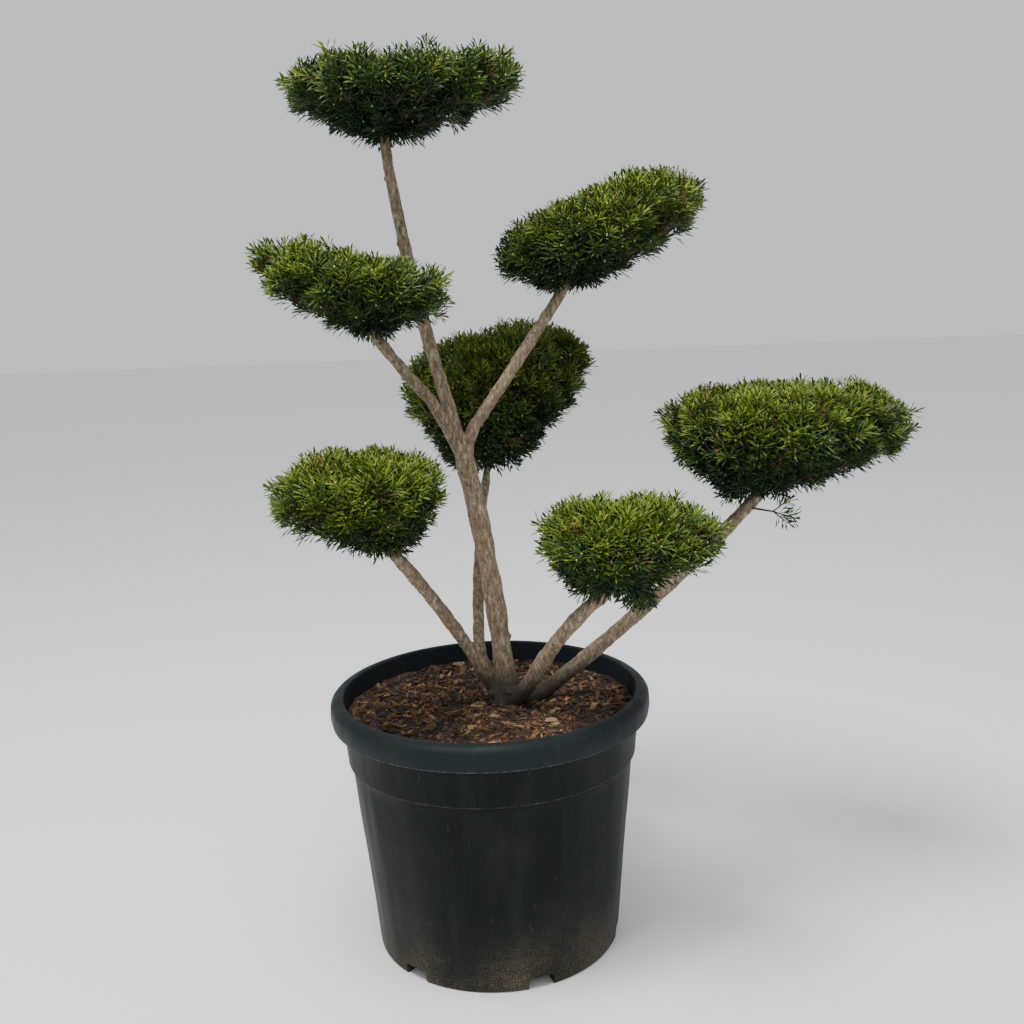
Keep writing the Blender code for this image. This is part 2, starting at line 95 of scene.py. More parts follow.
WHITE = (1.0, 1.0, 1.0)
POT_TONES = [(0.30, (0.0012, 0.0026, 0.0030)), (0.52, (0.0028, 0.0058, 0.0064)),
             (0.74, (0.0080, 0.0125, 0.0125))]
RIM_GREY = (0.0100, 0.0155, 0.0180)
SCUFF_GREY = (0.045, 0.052, 0.050)
BLOOM_GREY = (0.026, 0.026, 0.018)
DUST_TAN = (0.190, 0.152, 0.092)
BURR_AND_HIGHLIGHT_GREY = (0.110, 0.125, 0.125)
WEAR_AND_HIGHLIGHT_GREY = (0.070, 0.082, 0.080)
PAINTED_SHADE_BLACK = (0.0008, 0.0012, 0.0014)


def arc(centre, radius, start, end, steps):
    """Points of an arc in the (radius, height) plane, angles in degrees."""
    points = []
    for step in range(steps + 1):
        angle = math.radians(start + (end - start) * step / steps)
        points.append((centre[0] + radius * math.cos(angle), centre[1] + radius * math.sin(angle)))
    return points


def finished(name, bm, material, smooth_angle=None):
    """Turn a bmesh into one named piece that rides with the plant."""
    mesh = bpy.data.meshes.new(name)
    bm.to_mesh(mesh)
    bm.free()
    mesh.materials.append(material)
    piece = bpy.data.objects.new(name, mesh)
    bpy.context.scene.collection.objects.link(piece)
    if smooth_angle:
        mesh.shade_smooth()
        mesh.set_sharp_from_angle(angle=math.radians(smooth_angle))
    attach(piece, "root")
    return piece


def plain_material(name, colour, roughness):
    """A Principled material of one colour and roughness, and its shader node."""
    material = bpy.data.materials.new(name)
    material.use_nodes = True
    shader = material.node_tree.nodes["Principled BSDF"]
    shader.inputs["Base Color"].default_value = (*colour, 1.0)
    shader.inputs["Roughness"].default_value = roughness
    return material, shader


def noise_on_object(material, scale, detail, stretch=(1.0, 1.0, 1.0), roughness=0.55):
    """Factor socket of a noise on the piece's own coordinates, stretched along its axes."""
    nodes, links = material.node_tree.nodes, material.node_tree.links
    place = nodes.new("ShaderNodeTexCoord")
    mapping = nodes.new("ShaderNodeMapping")
    mapping.inputs["Scale"].default_value = stretch
    texture = nodes.new("ShaderNodeTexNoise")
    texture.inputs["Scale"].default_value = scale
    texture.inputs["Detail"].default_value = detail
    texture.inputs["Roughness"].default_value = roughness
    links.new(place.outputs["Object"], mapping.inputs["Vector"])
    links.new(mapping.outputs["Vector"], texture.inputs["Vector"])
    return texture.outputs["Fac"]


def ramp(material, source, stops):
    """Colour socket of a ramp with the given (position, colour) stops, fed by a factor."""
    node = material.node_tree.nodes.new("ShaderNodeValToRGB")
    while len(node.color_ramp.elements) < len(stops):
        node.color_ramp.elements.new(0.5)
    for element, (position, colour) in zip(node.color_ramp.elements, stops):
        element.position = position
        element.color = (*colour, 1.0)
    material.node_tree.links.new(source, node.inputs["Fac"])
    return node.outputs["Color"]


def bump(material, shader, source, strength, distance):
    """Fine relief from a texture, on top of the mesh's own."""
    node = material.node_tree.nodes.new("ShaderNodeBump")
    node.inputs["Strength"].default_value = strength
    node.inputs["Distance"].default_value = distance
    material.node_tree.links.new(source, node.inputs["Height"])
    material.node_tree.links.new(node.outputs["Normal"], shader.inputs["Normal"])


def mix(material, factor, first, second):
    """Socket of two colours, each a socket or a plain colour, mixed by a factor socket."""
    node = material.node_tree.nodes.new("ShaderNodeMix")
    node.data_type = "RGBA"
    material.node_tree.links.new(factor, node.inputs["Factor"])
    for value, name in ((first, "A"), (second, "B")):
        socket = next(item for item in node.inputs if item.name == name and item.type == "RGBA")
        if isinstance(value, bpy.types.NodeSocket):
            material.node_tree.links.new(value, socket)
        else:
            socket.default_value = (*value, 1.0)
    return next(item for item in node.outputs if item.type == "RGBA")


def height_share(material, low, high):
    """Factor socket that is 0 at one height of the piece and 1 at another."""
    nodes, links = material.node_tree.nodes, material.node_tree.links
    place = nodes.new("ShaderNodeTexCoord")
    split = nodes.new("ShaderNodeSeparateXYZ")
    span = nodes.new("ShaderNodeMapRange")
    span.inputs["From Min"].default_value = low
    span.inputs["From Max"].default_value = high
    links.new(place.outputs["Object"], split.inputs["Vector"])
    links.new(split.outputs["Z"], span.inputs["Value"])
    return span.outputs["Result"]


def grey(value):
    """The same value in red, green and blue, for a ramp that gives a factor."""
    return (value, value, value)


def multiply(material, first, second):
    """Socket of the product of two factors."""
    node = material.node_tree.nodes.new("ShaderNodeMath")
    node.operation = "MULTIPLY"
    material.node_tree.links.new(first, node.inputs[0])
    material.node_tree.links.new(second, node.inputs[1])
    return node.outputs["Value"]


def pot_material():
    """Dark green-black plastic: greyer rim, scuffs, dried soil dust near the foot; the rim's rough lower
    edge and the collar's edge lighter from wear and painted highlight, with painted shade below both.
    """
    material, shader = plain_material("pot_plastic", (0.010, 0.016, 0.018), 0.5)
    shader.inputs["Specular IOR Level"].default_value = 0.11
    links = material.node_tree.links
    streaks = noise_on_object(material, 46.0, 7.0, (1.0, 1.0, 0.07))
    patches = noise_on_object(material, 12.0, 5.0, (1.0, 1.0, 0.7))
    grit = noise_on_object(material, 950.0, 3.0, (1.0, 1.0, 0.8), 0.7)
    scuffs = noise_on_object(material, 240.0, 5.0, (1.0, 1.0, 0.16))
    body = ramp(material, streaks, POT_TONES)
    rim = height_share(material, RIM_BOTTOM - 0.001, RIM_BOTTOM + 0.001)
    greyer = mix(material, rim, body, RIM_GREY)
    marks = ramp(material, scuffs, [(0.64, BLACK), (0.76, grey(0.55))])
    scuffed = mix(material, marks, greyer, SCUFF_GREY)
    bloom = ramp(material, patches, [(0.50, BLACK), (0.72, grey(0.30))])
    bloomed = mix(material, bloom, scuffed, BLOOM_GREY)
    low = height_share(material, 0.120, -0.010)
    specks = ramp(material, grit, [(0.47, grey(0.05)), (0.60, WHITE)])
    loose = ramp(material, patches, [(0.36, grey(0.25)), (0.60, WHITE)])
    fallen = multiply(material, low, low)
    caked = multiply(material, specks, loose)
    dust = multiply(material, fallen, caked)
    dusty = mix(material, dust, bloomed, DUST_TAN)
    # A lighter band in patches along the rim's rough lower edge: wear plus a painted highlight.
    burr_and_highlight_band = ramp(material, height_share(material, RIM_BOTTOM - 0.0015, RIM_BOTTOM + 0.0035),
                [(0.20, BLACK), (0.42, WHITE), (0.80, BLACK)])
    wear_and_highlight_patches = ramp(material, scuffs, [(0.40, BLACK), (0.62, grey(0.9))])
    edge = multiply(material, burr_and_highlight_band, wear_and_highlight_patches)
    burred_and_highlit = mix(material, edge, dusty, BURR_AND_HIGHLIGHT_GREY)
    # A lighter line in patches along the collar's lower edge: wear plus a painted highlight.
    lip = ramp(material, height_share(material, COLLAR_BOTTOM - 0.001, COLLAR_BOTTOM + 0.003),
               [(0.25, BLACK), (0.45, grey(0.8)), (0.80, BLACK)])
    rubbed_and_highlit = multiply(material, lip, wear_and_highlight_patches)
    wear_and_painted_light = mix(material, rubbed_and_highlit, burred_and_highlit, WEAR_AND_HIGHLIGHT_GREY)
    # Painted shade: a near-black band just below the collar and just below the rim.
    for step in (COLLAR_BOTTOM, RIM_BOTTOM):
        under = ramp(material, height_share(material, step - 0.010, step + 0.0004),
                     [(0.20, BLACK), (0.92, grey(0.85)), (1.0, BLACK)])
        wear_and_painted_light = mix(material, under, wear_and_painted_light, PAINTED_SHADE_BLACK)
    links.new(wear_and_painted_light, shader.inputs["Base Color"])
    gloss = ramp(material, streaks, [(0.3, grey(0.44)), (0.8, grey(0.66))])
    links.new(gloss, shader.inputs["Roughness"])
    bump(material, shader, scuffs, 0.35, 0.0008)
    return material


def panel_depth(turn):
    """Depth of the body's shallow upright panels at a turn round the pot."""
    across = math.cos(turn * PANELS)
    return PANEL_DEPTH * (1.0 / (1.0 + math.exp(-across * 9.0)) - 0.5)


def wall_radius(share):
    """Outer radius of the tapering body at a share of its height."""
    return FOOT_RADIUS + (BODY_TOP_RADIUS - FOOT_RADIUS) * share


def build_pot():
    """Turned shell, pressed in and out by its panels and dents, with the notches cut last."""
    outline = [(0.0, 0.0), (BOSS_RADIUS, 0.0), (BOSS_RADIUS + 0.002, FLOOR_UNDERSIDE),
               (FOOT_RING_INNER - 0.002, FLOOR_UNDERSIDE), (FOOT_RING_INNER, 0.0)]
    outline += arc((FOOT_RADIUS - FOOT_CORNER, FOOT_CORNER), FOOT_CORNER, -90, 0, 5)
    for level in range(1, BODY_LEVELS):
        share = level / BODY_LEVELS
        height = FOOT_CORNER + (COLLAR_BOTTOM - 0.003 - FOOT_CORNER) * share
        outline.append((wall_radius(share), height))
    outline += [(BODY_TOP_RADIUS, COLLAR_BOTTOM - 0.0026),
                (BODY_TOP_RADIUS + 0.0008, COLLAR_BOTTOM - 0.0010),
                (COLLAR_LOW_RADIUS - 0.0010, COLLAR_BOTTOM),
                (COLLAR_LOW_RADIUS, COLLAR_BOTTOM + 0.0012),
                (COLLAR_LOW_RADIUS + 0.0012, COLLAR_BOTTOM + 0.016),
                (COLLAR_TOP_RADIUS, RIM_BOTTOM - 0.001),
                (COLLAR_TOP_RADIUS + 0.0008, RIM_BOTTOM + 0.0010),
                (RIM_RADIUS - 0.0034, RIM_BOTTOM),
                (RIM_RADIUS - 0.0016, RIM_BOTTOM + 0.0012),
                (RIM_RADIUS, RIM_BOTTOM + 0.010)]
    outline += arc((RIM_RADIUS - RIM_BEAD, POT_HEIGHT - RIM_BEAD), RIM_BEAD, 18, 90, 10)
    outline += [(LIP_RADIUS + 0.0025, POT_HEIGHT),
                (LIP_RADIUS + 0.0008, POT_HEIGHT - 0.0012),
                (LIP_RADIUS, POT_HEIGHT - 0.004),
                (COLLAR_LOW_RADIUS - 0.0012, COLLAR_BOTTOM + 0.008),
                (BODY_TOP_RADIUS - 0.0034, COLLAR_BOTTOM - 0.003),
                (FOOT_RADIUS - 0.0017, FLOOR_TOP),
                (0.0, FLOOR_TOP)]
    bm = bmesh.new()
    ring = [bm.verts.new((radius, 0.0, height)) for radius, height in outline]
    edges = [bm.edges.new(pair) for pair in zip(ring, ring[1:])]
    bmesh.ops.spin(bm, geom=ring + edges, cent=(0, 0, 0), axis=(0, 0, 1), angle=math.tau,
                   steps=POT_STEPS, use_merge=True)
    bmesh.ops.remove_doubles(bm, verts=bm.verts, dist=WELD)
    for vert in bm.verts:
        radius, height = vert.co.xy.length, vert.co.z
        if radius < FOOT_RADIUS - 0.001 or height > COLLAR_BOTTOM:
            continue
        inside = radius < wall_radius(height / COLLAR_BOTTOM) - 0.001
        above_foot = min(max((height - 0.02) / 0.03, 0.0), 1.0)
        below_collar = min(max((COLLAR_BOTTOM - 0.004 - height) / 0.01, 0.0), 1.0)
        fade = above_foot * below_collar
        if not inside and fade:
            turn = math.atan2(vert.co.y, vert.co.x)
            dent = panel_depth(turn) - 0.0006 + DENT_DEPTH * noise.noise(vert.co * 14.0)
            vert.co.xy *= 1.0 + dent * fade / radius
    bmesh.ops.recalc_face_normals(bm, faces=bm.faces)
    pot = finished("pot_shell", bm, pot_material(), SHARP_ANGLE)
    cut_notches(pot)
    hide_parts("pot")


def cut_notches(pot):
    """Round-cornered notches through the foot ring, each cut by a bar that runs outwards."""
    cutters = bpy.data.collections.new("notch_cutters")
    bpy.context.scene.collection.children.link(cutters)
    half, corner = NOTCH_HALF_WIDTH, NOTCH_CORNER
    for index in range(NOTCHES):
        bm = bmesh.new()
        outline = [(half, -NOTCH_HEIGHT)]
        outline += arc((half - corner, NOTCH_HEIGHT - corner), corner, 0, 90, 6)
        outline += arc((corner - half, NOTCH_HEIGHT - corner), corner, 90, 180, 6)
        outline += [(-half, -NOTCH_HEIGHT)]
        start = FOOT_RING_INNER - 0.012
        face = bm.faces.new([bm.verts.new((start, across, height)) for across, height in outline])
        swept = bmesh.ops.extrude_face_region(bm, geom=[face])["geom"]
        moved = [part for part in swept if isinstance(part, bmesh.types.BMVert)]
        bmesh.ops.translate(bm, verts=moved, vec=(NOTCH_REACH, 0.0, 0.0))
        turn = NOTCH_TURN + math.tau * index / NOTCHES
        bmesh.ops.rotate(bm, verts=bm.verts, matrix=Matrix.Rotation(turn, 3, "Z"))
        bmesh.ops.recalc_face_normals(bm, faces=bm.faces)
        mesh = bpy.data.meshes.new("notch_cutter")
        bm.to_mesh(mesh)
        bm.free()
        cutters.objects.link(bpy.data.objects.new("notch_cutter", mesh))
    cut = pot.modifiers.new("notches", "BOOLEAN")
    cut.operand_type = "COLLECTION"
    cut.collection = cutters
    cut.operation = "DIFFERENCE"
    graph = bpy.context.evaluated_depsgraph_get()
    mesh = bpy.data.meshes.new_from_object(pot.evaluated_get(graph), depsgraph=graph)
    pot.modifiers.clear()
    pot.data = mesh
    for cutter in list(cutters.objects):
        bpy.data.objects.remove(cutter, do_unlink=True)
    bpy.data.collections.remove(cutters)


build_pot()


# Potting mix: damp bark and fibre, pressed round the root crown and a little lower at the wall,
# with loose bark chips, a few pale grains and crumbs lying on it.
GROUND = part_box("soil")[1].z
SOIL_EDGE = 0.3055              # height of the mix at the wall
SOIL_FALL = 0.07                # it falls to that height over this distance
SOIL_RADIUS = 0.1800
SOIL_RINGS = 84
SOIL_STEPS = 260
SOIL_UNDERSIDE = 0.25
SOIL_TAPER = 0.965              # radius of its underside, as a share of its top's
LEVEL_RADIUS = 0.088
LEVEL_CENTRE = Vector((0.028, -0.010))
CHIP_EDGE_GAP = 0.006
CHIP_TILT = (0.45, 0.40)        # the most that a chip rolls and pitches, in radians
CHIP_RAGGED = 0.18              # how far its corners are off, as a share of its width
CHIP_LEAST = 0.0006
PATCH_BROWN = (0.010, 0.006, 0.004)
SOIL_TONES = [(0.30, (0.006, 0.004, 0.002)), (0.50, (0.028, 0.014, 0.007)),
              (0.64, (0.085, 0.042, 0.019)), (0.80, (0.200, 0.115, 0.055))]
LOOSE_BITS = (                  # name, how many, seed, lengths, thickness by width, tones
    ("bark_chips", 2400, 11, (0.003, 0.014), 0.35,
     [(0.3, (0.034, 0.015, 0.006)), (0.5, (0.135, 0.062, 0.023)), (0.75, (0.300, 0.165, 0.070))]),
    ("dark_crumbs", 1300, 12, (0.002, 0.009), 0.8,
     [(0.3, (0.003, 0.002, 0.001)), (0.5, (0.012, 0.006, 0.004)), (0.75, (0.050, 0.024, 0.011))]),
    ("tan_splinters", 520, 14, (0.004, 0.017), 0.25,
     [(0.3, (0.140, 0.078, 0.032)), (0.5, (0.290, 0.175, 0.080)), (0.75, (0.480, 0.340, 0.190))]),
    ("pale_grains", 130, 13, (0.002, 0.005), 0.6,
     [(0.3, (0.200, 0.140, 0.080)), (0.5, (0.420, 0.320, 0.210)), (0.75, (0.600, 0.500, 0.360))]),
)


def soil_height(x, y):
    """Height of the soil's rough surface at a place."""
    away = (Vector((x, y)) - LEVEL_CENTRE).length
    fade = min(1.0, max(0.0, (away - LEVEL_RADIUS) / SOIL_FALL))
    spot = Vector((x, y, 0.0))
    rough = 0.0035 * noise.noise(spot * 45.0) + 0.0022 * noise.noise(spot * 130.0)
    return GROUND + (SOIL_EDGE - GROUND) * fade - 0.002 + rough + 0.0009 * noise.noise(spot * 420.0)


def soil_material(name, stops, scale):
    """Bark mix in the given tones, from crumb to fibre, darker in broad patches."""
    material, shader = plain_material(name, stops[1][1], 0.92)
    grain = noise_on_object(material, scale, 8.0, roughness=0.7)
    colour = ramp(material, grain, stops)
    # Broad darker patches.
    patch_noise = noise_on_object(material, 24.0, 5.0)
    patchy = ramp(material, patch_noise, [(0.48, BLACK), (0.64, grey(0.82))])
    patched = mix(material, patchy, colour, PATCH_BROWN)
    material.node_tree.links.new(patched, shader.inputs["Base Color"])
    bump(material, shader, grain, 0.6, 0.0012)
    return material


def build_soil():
    """The bed of mix: a fine polar sheet with relief, closed by its own sides and underside."""
    bm = bmesh.new()
    edge = [bm.verts.new((SOIL_RADIUS * (index + 1) / SOIL_RINGS, 0.0, 0.0))
            for index in range(SOIL_RINGS)]
    middle = bm.verts.new((0.0, 0.0, 0.0))
    line = [middle] + edge
    edges = [bm.edges.new(pair) for pair in zip(line, line[1:])]
    bmesh.ops.spin(bm, geom=line + edges, cent=(0, 0, 0), axis=(0, 0, 1), angle=math.tau,
                   steps=SOIL_STEPS, use_merge=True)
    bmesh.ops.remove_doubles(bm, verts=bm.verts, dist=WELD)
    for vert in bm.verts:
        vert.co.z = soil_height(vert.co.x, vert.co.y)
    rim = [item for item in bm.edges if item.is_boundary]
    wall = bmesh.ops.extrude_edge_only(bm, edges=rim)["geom"]
    lower = [item for item in wall if isinstance(item, bmesh.types.BMVert)]
    for vert in lower:
        vert.co.z = SOIL_UNDERSIDE
        vert.co.xy *= SOIL_TAPER
    bottom = [item for item in wall if isinstance(item, bmesh.types.BMEdge) and item.is_boundary]
    bmesh.ops.contextual_create(bm, geom=bottom)
    bmesh.ops.recalc_face_normals(bm, faces=bm.faces)
    soil = finished("soil_bed", bm, soil_material("soil_mix", SOIL_TONES, 220.0), 60)
    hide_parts("soil")


def build_chips(name, count, seed, lengths, flat, stops):
    """Loose bits on the mix: split slivers of bark, each a small wedge of six sides."""
    chance = random.Random(seed)
    bm = bmesh.new()
    for _ in range(count):
        radius = (SOIL_RADIUS - CHIP_EDGE_GAP) * math.sqrt(chance.random())
        turn = chance.uniform(0.0, math.tau)
        x, y = radius * math.cos(turn), radius * math.sin(turn)
        length = chance.uniform(*lengths) * chance.uniform(0.5, 1.0)
        width = length * chance.uniform(0.12, 0.5)
        size = (length, width, max(width * flat * chance.uniform(0.5, 1.2), CHIP_LEAST))
        roll, pitch = (Matrix.Rotation(chance.uniform(-most, most), 4, axis)
                       for most, axis in zip(CHIP_TILT, "XY"))
        place = Matrix.Translation((x, y, soil_height(x, y) + size[2] * 0.45))
        place = place @ Matrix.Rotation(chance.uniform(0.0, math.tau), 4, "Z") @ (roll @ pitch)
        place = place @ Matrix.Diagonal((*size, 1.0))
        for vert in bmesh.ops.create_cube(bm, size=1.0, matrix=place)["verts"]:
            vert.co += Vector([chance.uniform(-CHIP_RAGGED, CHIP_RAGGED) * width for _ in range(3)])
    material = soil_material(name, stops, 300.0)
    chips = finished(name, bm, material)


build_soil()
for bits in LOOSE_BITS:
    build_chips(*bits)


# Trunk and limbs: one skin of rough bark over the leaning trunk, its fork and the four stems
# from the same crown, with knots, ridges, lumps at the crown and the stub of a stem cut off.
CROWN = Vector((0.022, -0.010, GROUND - 0.006))
FORK = Vector((-0.0225, 0.020, 0.632))
TRUNK_BOW = Vector((0.0070, 0.0, 0.0))
TRUNK_RADIUS = (0.0128, 0.0118)
TRUNK_STEPS = 60
TRUNK_SIDES = 24
FLARE = 0.0105
FLARE_HEIGHT = 0.020
BOUGHS_LEAVE = 0.93             # share of the trunk at which its boughs begin
LIMB_STEPS = 40
LIMB_SIDES = 20
LIMB_RUN_ON = 0.026             # the wood runs this far into its pad
SWOLLEN = {"crown": 1.12, "fork": 1.05}
LIMB_KNOTS = 5
LIMB_KNOT_RADII = (0.0022, 0.0040)
TRUNK_KNOTS = 10
TRUNK_KNOT_RADII = (0.0030, 0.0052)
TRUNK_KNOT_AWAY = 0.0105
CROWN_LUMPS = 16
CROWN_LUMP_RADII = (0.0035, 0.0068)
CROWN_LUMP_AWAY = (0.012, 0.021)
CUT_STUB_FOOT = Vector((0.0230, -0.0200, GROUND - 0.006))
CUT_STUB_RISES = ((0.0, 0.0, 0.0), (0.002, -0.005, 0.014), (0.003, -0.008, 0.026))
CUT_STUB_RADII = (0.0105, 0.0094, 0.0078)
# the bark darkens from the first height down to the second, towards the soil
DARKENING_HEIGHTS = (GROUND + 0.056, GROUND + 0.024)
LIMBS = {
    "leader": {
        "foot": (-0.0400, 0.0205, 0.698), "tip": (-0.0960, 0.0300, 0.9930),
        "bow": (-0.0060, 0.0060, 0.0), "radii": (0.0080, 0.0064), "from": "fork"},
    "left_bough": {
        "foot": (-0.0545, -0.0020, 0.689), "tip": (-0.1060, -0.0580, 0.7620),
        "bow": (-0.0010, 0.0010, 0.0), "radii": (0.0072, 0.0062), "from": "fork"},
    "right_bough": {
        "foot": (-0.0050, 0.0240, 0.655), "tip": (0.1070, 0.0600, 0.8090),
        "bow": (0.0005, 0.0010, -0.0010), "radii": (0.0075, 0.0068), "from": "fork"},
    "rear_stem": {
        "foot": (-0.0105, 0.0260, 0.361), "tip": (0.0070, 0.1400, 0.5700),
        "bow": (-0.0060, 0.0040, -0.0030), "radii": (0.0080, 0.0056), "from": "crown"},
    "left_stem": {
        "foot": (-0.0150, -0.0145, 0.368), "tip": (-0.0938, -0.0900, 0.5120),
        "bow": (0.0010, 0.0020, 0.0030), "radii": (0.0084, 0.0080), "from": "crown"},
    "front_stem": {
        "foot": (0.0490, -0.0450, 0.345), "tip": (0.1298, -0.1200, 0.4700),
        "bow": (-0.0035, 0.0016, 0.0055), "radii": (0.0096, 0.0083), "from": "crown"},
    "right_stem": {
        "foot": (0.0740, -0.0100, 0.3265), "tip": (0.3346, 0.0100, 0.5480),
        "bow": (0.0050, 0.0030, -0.0055), "radii": (0.0098, 0.0079), "from": "crown"},
}
BARK_VOXEL = 0.0016
GREY_BARK = [(0.32, (0.050, 0.036, 0.022)), (0.50, (0.195, 0.148, 0.094)), (0.68, (0.480, 0.400, 0.280))]
RED_BARK = [(0.30, (0.060, 0.034, 0.020)), (0.52, (0.205, 0.135, 0.085)), (0.74, (0.420, 0.310, 0.215))]
LENTICEL_BROWN = (0.045, 0.030, 0.020)
DARKER_BARK = (0.020, 0.014, 0.009)


def along(limb, share):
    """Point on a limb's centre line, share 0 at its foot and 1 at its tip."""
    foot, tip, bow = Vector(limb["foot"]), Vector(limb["tip"]), Vector(limb["bow"])
    return foot.lerp(tip, share) + bow * (4.0 * share * (1.0 - share))


def heading(limb, share):
    """Unit direction of a limb's centre line, towards its tip."""
    chord = Vector(limb["tip"]) - Vector(limb["foot"])
    return (chord + Vector(limb["bow"]) * (4.0 - 8.0 * share)).normalized()


def trunk_line(share):
    """Point on the trunk's centre line, share 0 at the root crown and 1 at the fork."""
    return CROWN.lerp(FORK, share) + TRUNK_BOW * (4.0 * share * (1.0 - share))


def add_tube(bm, points, radii, sides):
    """A tapering tube through the points, closed at both ends."""
    last_way, turn = None, None
    rings = []
    for index, (point, radius) in enumerate(zip(points, radii)):
        way = (points[min(index + 1, len(points) - 1)] - points[max(index - 1, 0)]).normalized()
        if last_way is None:
            turn = way.to_track_quat("Z", "Y")
        else:
            turn = last_way.rotation_difference(way) @ turn
        last_way = way
        place = Matrix.Translation(point) @ turn.to_matrix().to_4x4()
        rings.append(bmesh.ops.create_circle(bm, segments=sides, radius=radius, matrix=place)["verts"])
    for lower, upper in zip(rings, rings[1:]):
        edges = [bm.edges.get((ring[index], ring[index - 1]))
                 for ring in (lower, upper) for index in range(sides)]
        bmesh.ops.bridge_loops(bm, edges=edges)
    for ring in (rings[0], rings[-1]):
        bmesh.ops.contextual_create(bm, geom=ring)


def add_knot(bm, spot, radius):
    """A round knot or lump that stands a little out of the wood."""
    bmesh.ops.create_icosphere(bm, subdivisions=2, radius=radius, matrix=Matrix.Translation(spot))


def bark_material():
    """Grey-beige bark, reddish where it has flaked, with dark lenticels and cracks."""
    material, shader = plain_material("bark", (0.23, 0.17, 0.12), 0.85)
    broad = noise_on_object(material, 26.0, 5.0)
    fibre = noise_on_object(material, 260.0, 9.0, (1.0, 1.0, 0.35), 0.75)
    specks = noise_on_object(material, 330.0, 3.0, (1.0, 1.0, 0.7))
    weathered = ramp(material, fibre, GREY_BARK)
    flaked = ramp(material, fibre, RED_BARK)
    patch = ramp(material, broad, [(0.44, BLACK), (0.62, grey(0.8))])
    mixed = mix(material, patch, weathered, flaked)
    dark = ramp(material, specks, [(0.30, grey(0.9)), (0.38, BLACK)])
    flecked = mix(material, dark, mixed, LENTICEL_BROWN)
    # Darker towards the soil, a little unevenly.
    low = height_share(material, *DARKENING_HEIGHTS)
    patchy = ramp(material, broad, [(0.35, WHITE), (0.70, grey(0.80))])
    darkened = multiply(material, low, patchy)
    colour = mix(material, darkened, flecked, DARKER_BARK)
    material.node_tree.links.new(colour, shader.inputs["Base Color"])
    bump(material, shader, fibre, 0.55, 0.0012)
    return material


def build_bark():
    """Tubes on the limbs' own lines, knots and lumps, then one remeshed skin with relief."""
    chance = random.Random(5)
    bm = bmesh.new()
    points = [CROWN - Vector((0, 0, 0.004))]
    points += [trunk_line(step / TRUNK_STEPS) for step in range(TRUNK_STEPS + 1)]
    radii = []
    for point in points:
        height = max(point.z - GROUND, 0.0)
        taper = TRUNK_RADIUS[0] + (TRUNK_RADIUS[1] - TRUNK_RADIUS[0]) * height / (FORK.z - GROUND)
        swelling = 0.0012 * noise.noise(point * 30.0)
        radii.append(taper + FLARE * math.exp(-height / FLARE_HEIGHT) + swelling)
    add_tube(bm, points, radii, TRUNK_SIDES)
    for limb in LIMBS.values():
        foot, tip = limb["radii"]
        start = CROWN if limb["from"] == "crown" else trunk_line(BOUGHS_LEAVE)
        way = heading(limb, 0.0)
        bend = start.lerp(Vector(limb["foot"]) - way * 0.012, 0.72)
        swollen = foot * SWOLLEN[limb["from"]]
        points = [start, start.lerp(bend, 0.5), bend]
        radii = [swollen * 1.04, swollen * 1.02, swollen]
        for step in range(LIMB_STEPS + 1):
            share = step / LIMB_STEPS
            point = along(limb, share)
            points.append(point)
            radii.append(foot + (tip - foot) * share + 0.0009 * noise.noise(point * 42.0))
        points.append(along(limb, 1.0) + heading(limb, 1.0) * LIMB_RUN_ON)
        radii.append(tip * 0.80)
        add_tube(bm, points, radii, LIMB_SIDES)
        for _ in range(LIMB_KNOTS):
            share = chance.uniform(0.15, 0.95)
            side = Vector([chance.uniform(-1, 1) for _ in range(3)]).normalized()
            add_knot(bm, along(limb, share) + side * (foot * 0.75), chance.uniform(*LIMB_KNOT_RADII))
    for _ in range(TRUNK_KNOTS):
        point = trunk_line(chance.uniform(0.12, 0.95))
        side = Vector((chance.uniform(-1, 1), chance.uniform(-1, 1), 0.0)).normalized()
        add_knot(bm, point + side * TRUNK_KNOT_AWAY, chance.uniform(*TRUNK_KNOT_RADII))
    for _ in range(CROWN_LUMPS):
        turn, away = chance.uniform(0.0, math.tau), chance.uniform(*CROWN_LUMP_AWAY)
        spot = Vector((CROWN.x + away * math.cos(turn), CROWN.y + away * math.sin(turn),
                       GROUND + chance.uniform(-0.004, 0.024 - away * 0.6)))
        add_knot(bm, spot, chance.uniform(*CROWN_LUMP_RADII))
    stub = [CUT_STUB_FOOT + Vector(rise) for rise in CUT_STUB_RISES]
    add_tube(bm, stub, CUT_STUB_RADII, 18)
    bmesh.ops.recalc_face_normals(bm, faces=bm.faces)
    bark = finished("bark_skin", bm, bark_material())
    skin = bark.modifiers.new("skin", "REMESH")
    skin.mode = "VOXEL"
    skin.voxel_size = BARK_VOXEL
    skin.adaptivity = 0.0
    graph = bpy.context.evaluated_depsgraph_get()
    mesh = bpy.data.meshes.new_from_object(bark.evaluated_get(graph), depsgraph=graph)
    bark.modifiers.clear()
    bark.data = mesh
    bm = bmesh.new()
    bm.from_mesh(mesh)
    bmesh.ops.smooth_vert(bm, verts=bm.verts, factor=0.5,
                          use_axis_x=True, use_axis_y=True, use_axis_z=True)
    bm.normal_update()
    for vert in bm.verts:
        spot = vert.co
        relief = 0.00065 * noise.noise(Vector((spot.x * 170.0, spot.y * 170.0, spot.z * 60.0)))
        relief += 0.00045 * noise.noise(spot * 380.0) + 0.0006 * noise.noise(spot * 70.0)
        vert.co += vert.normal * relief
    bm.to_mesh(mesh)
    bm.free()
    mesh.shade_smooth()
    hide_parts("trunk", *LIMBS)


build_bark()
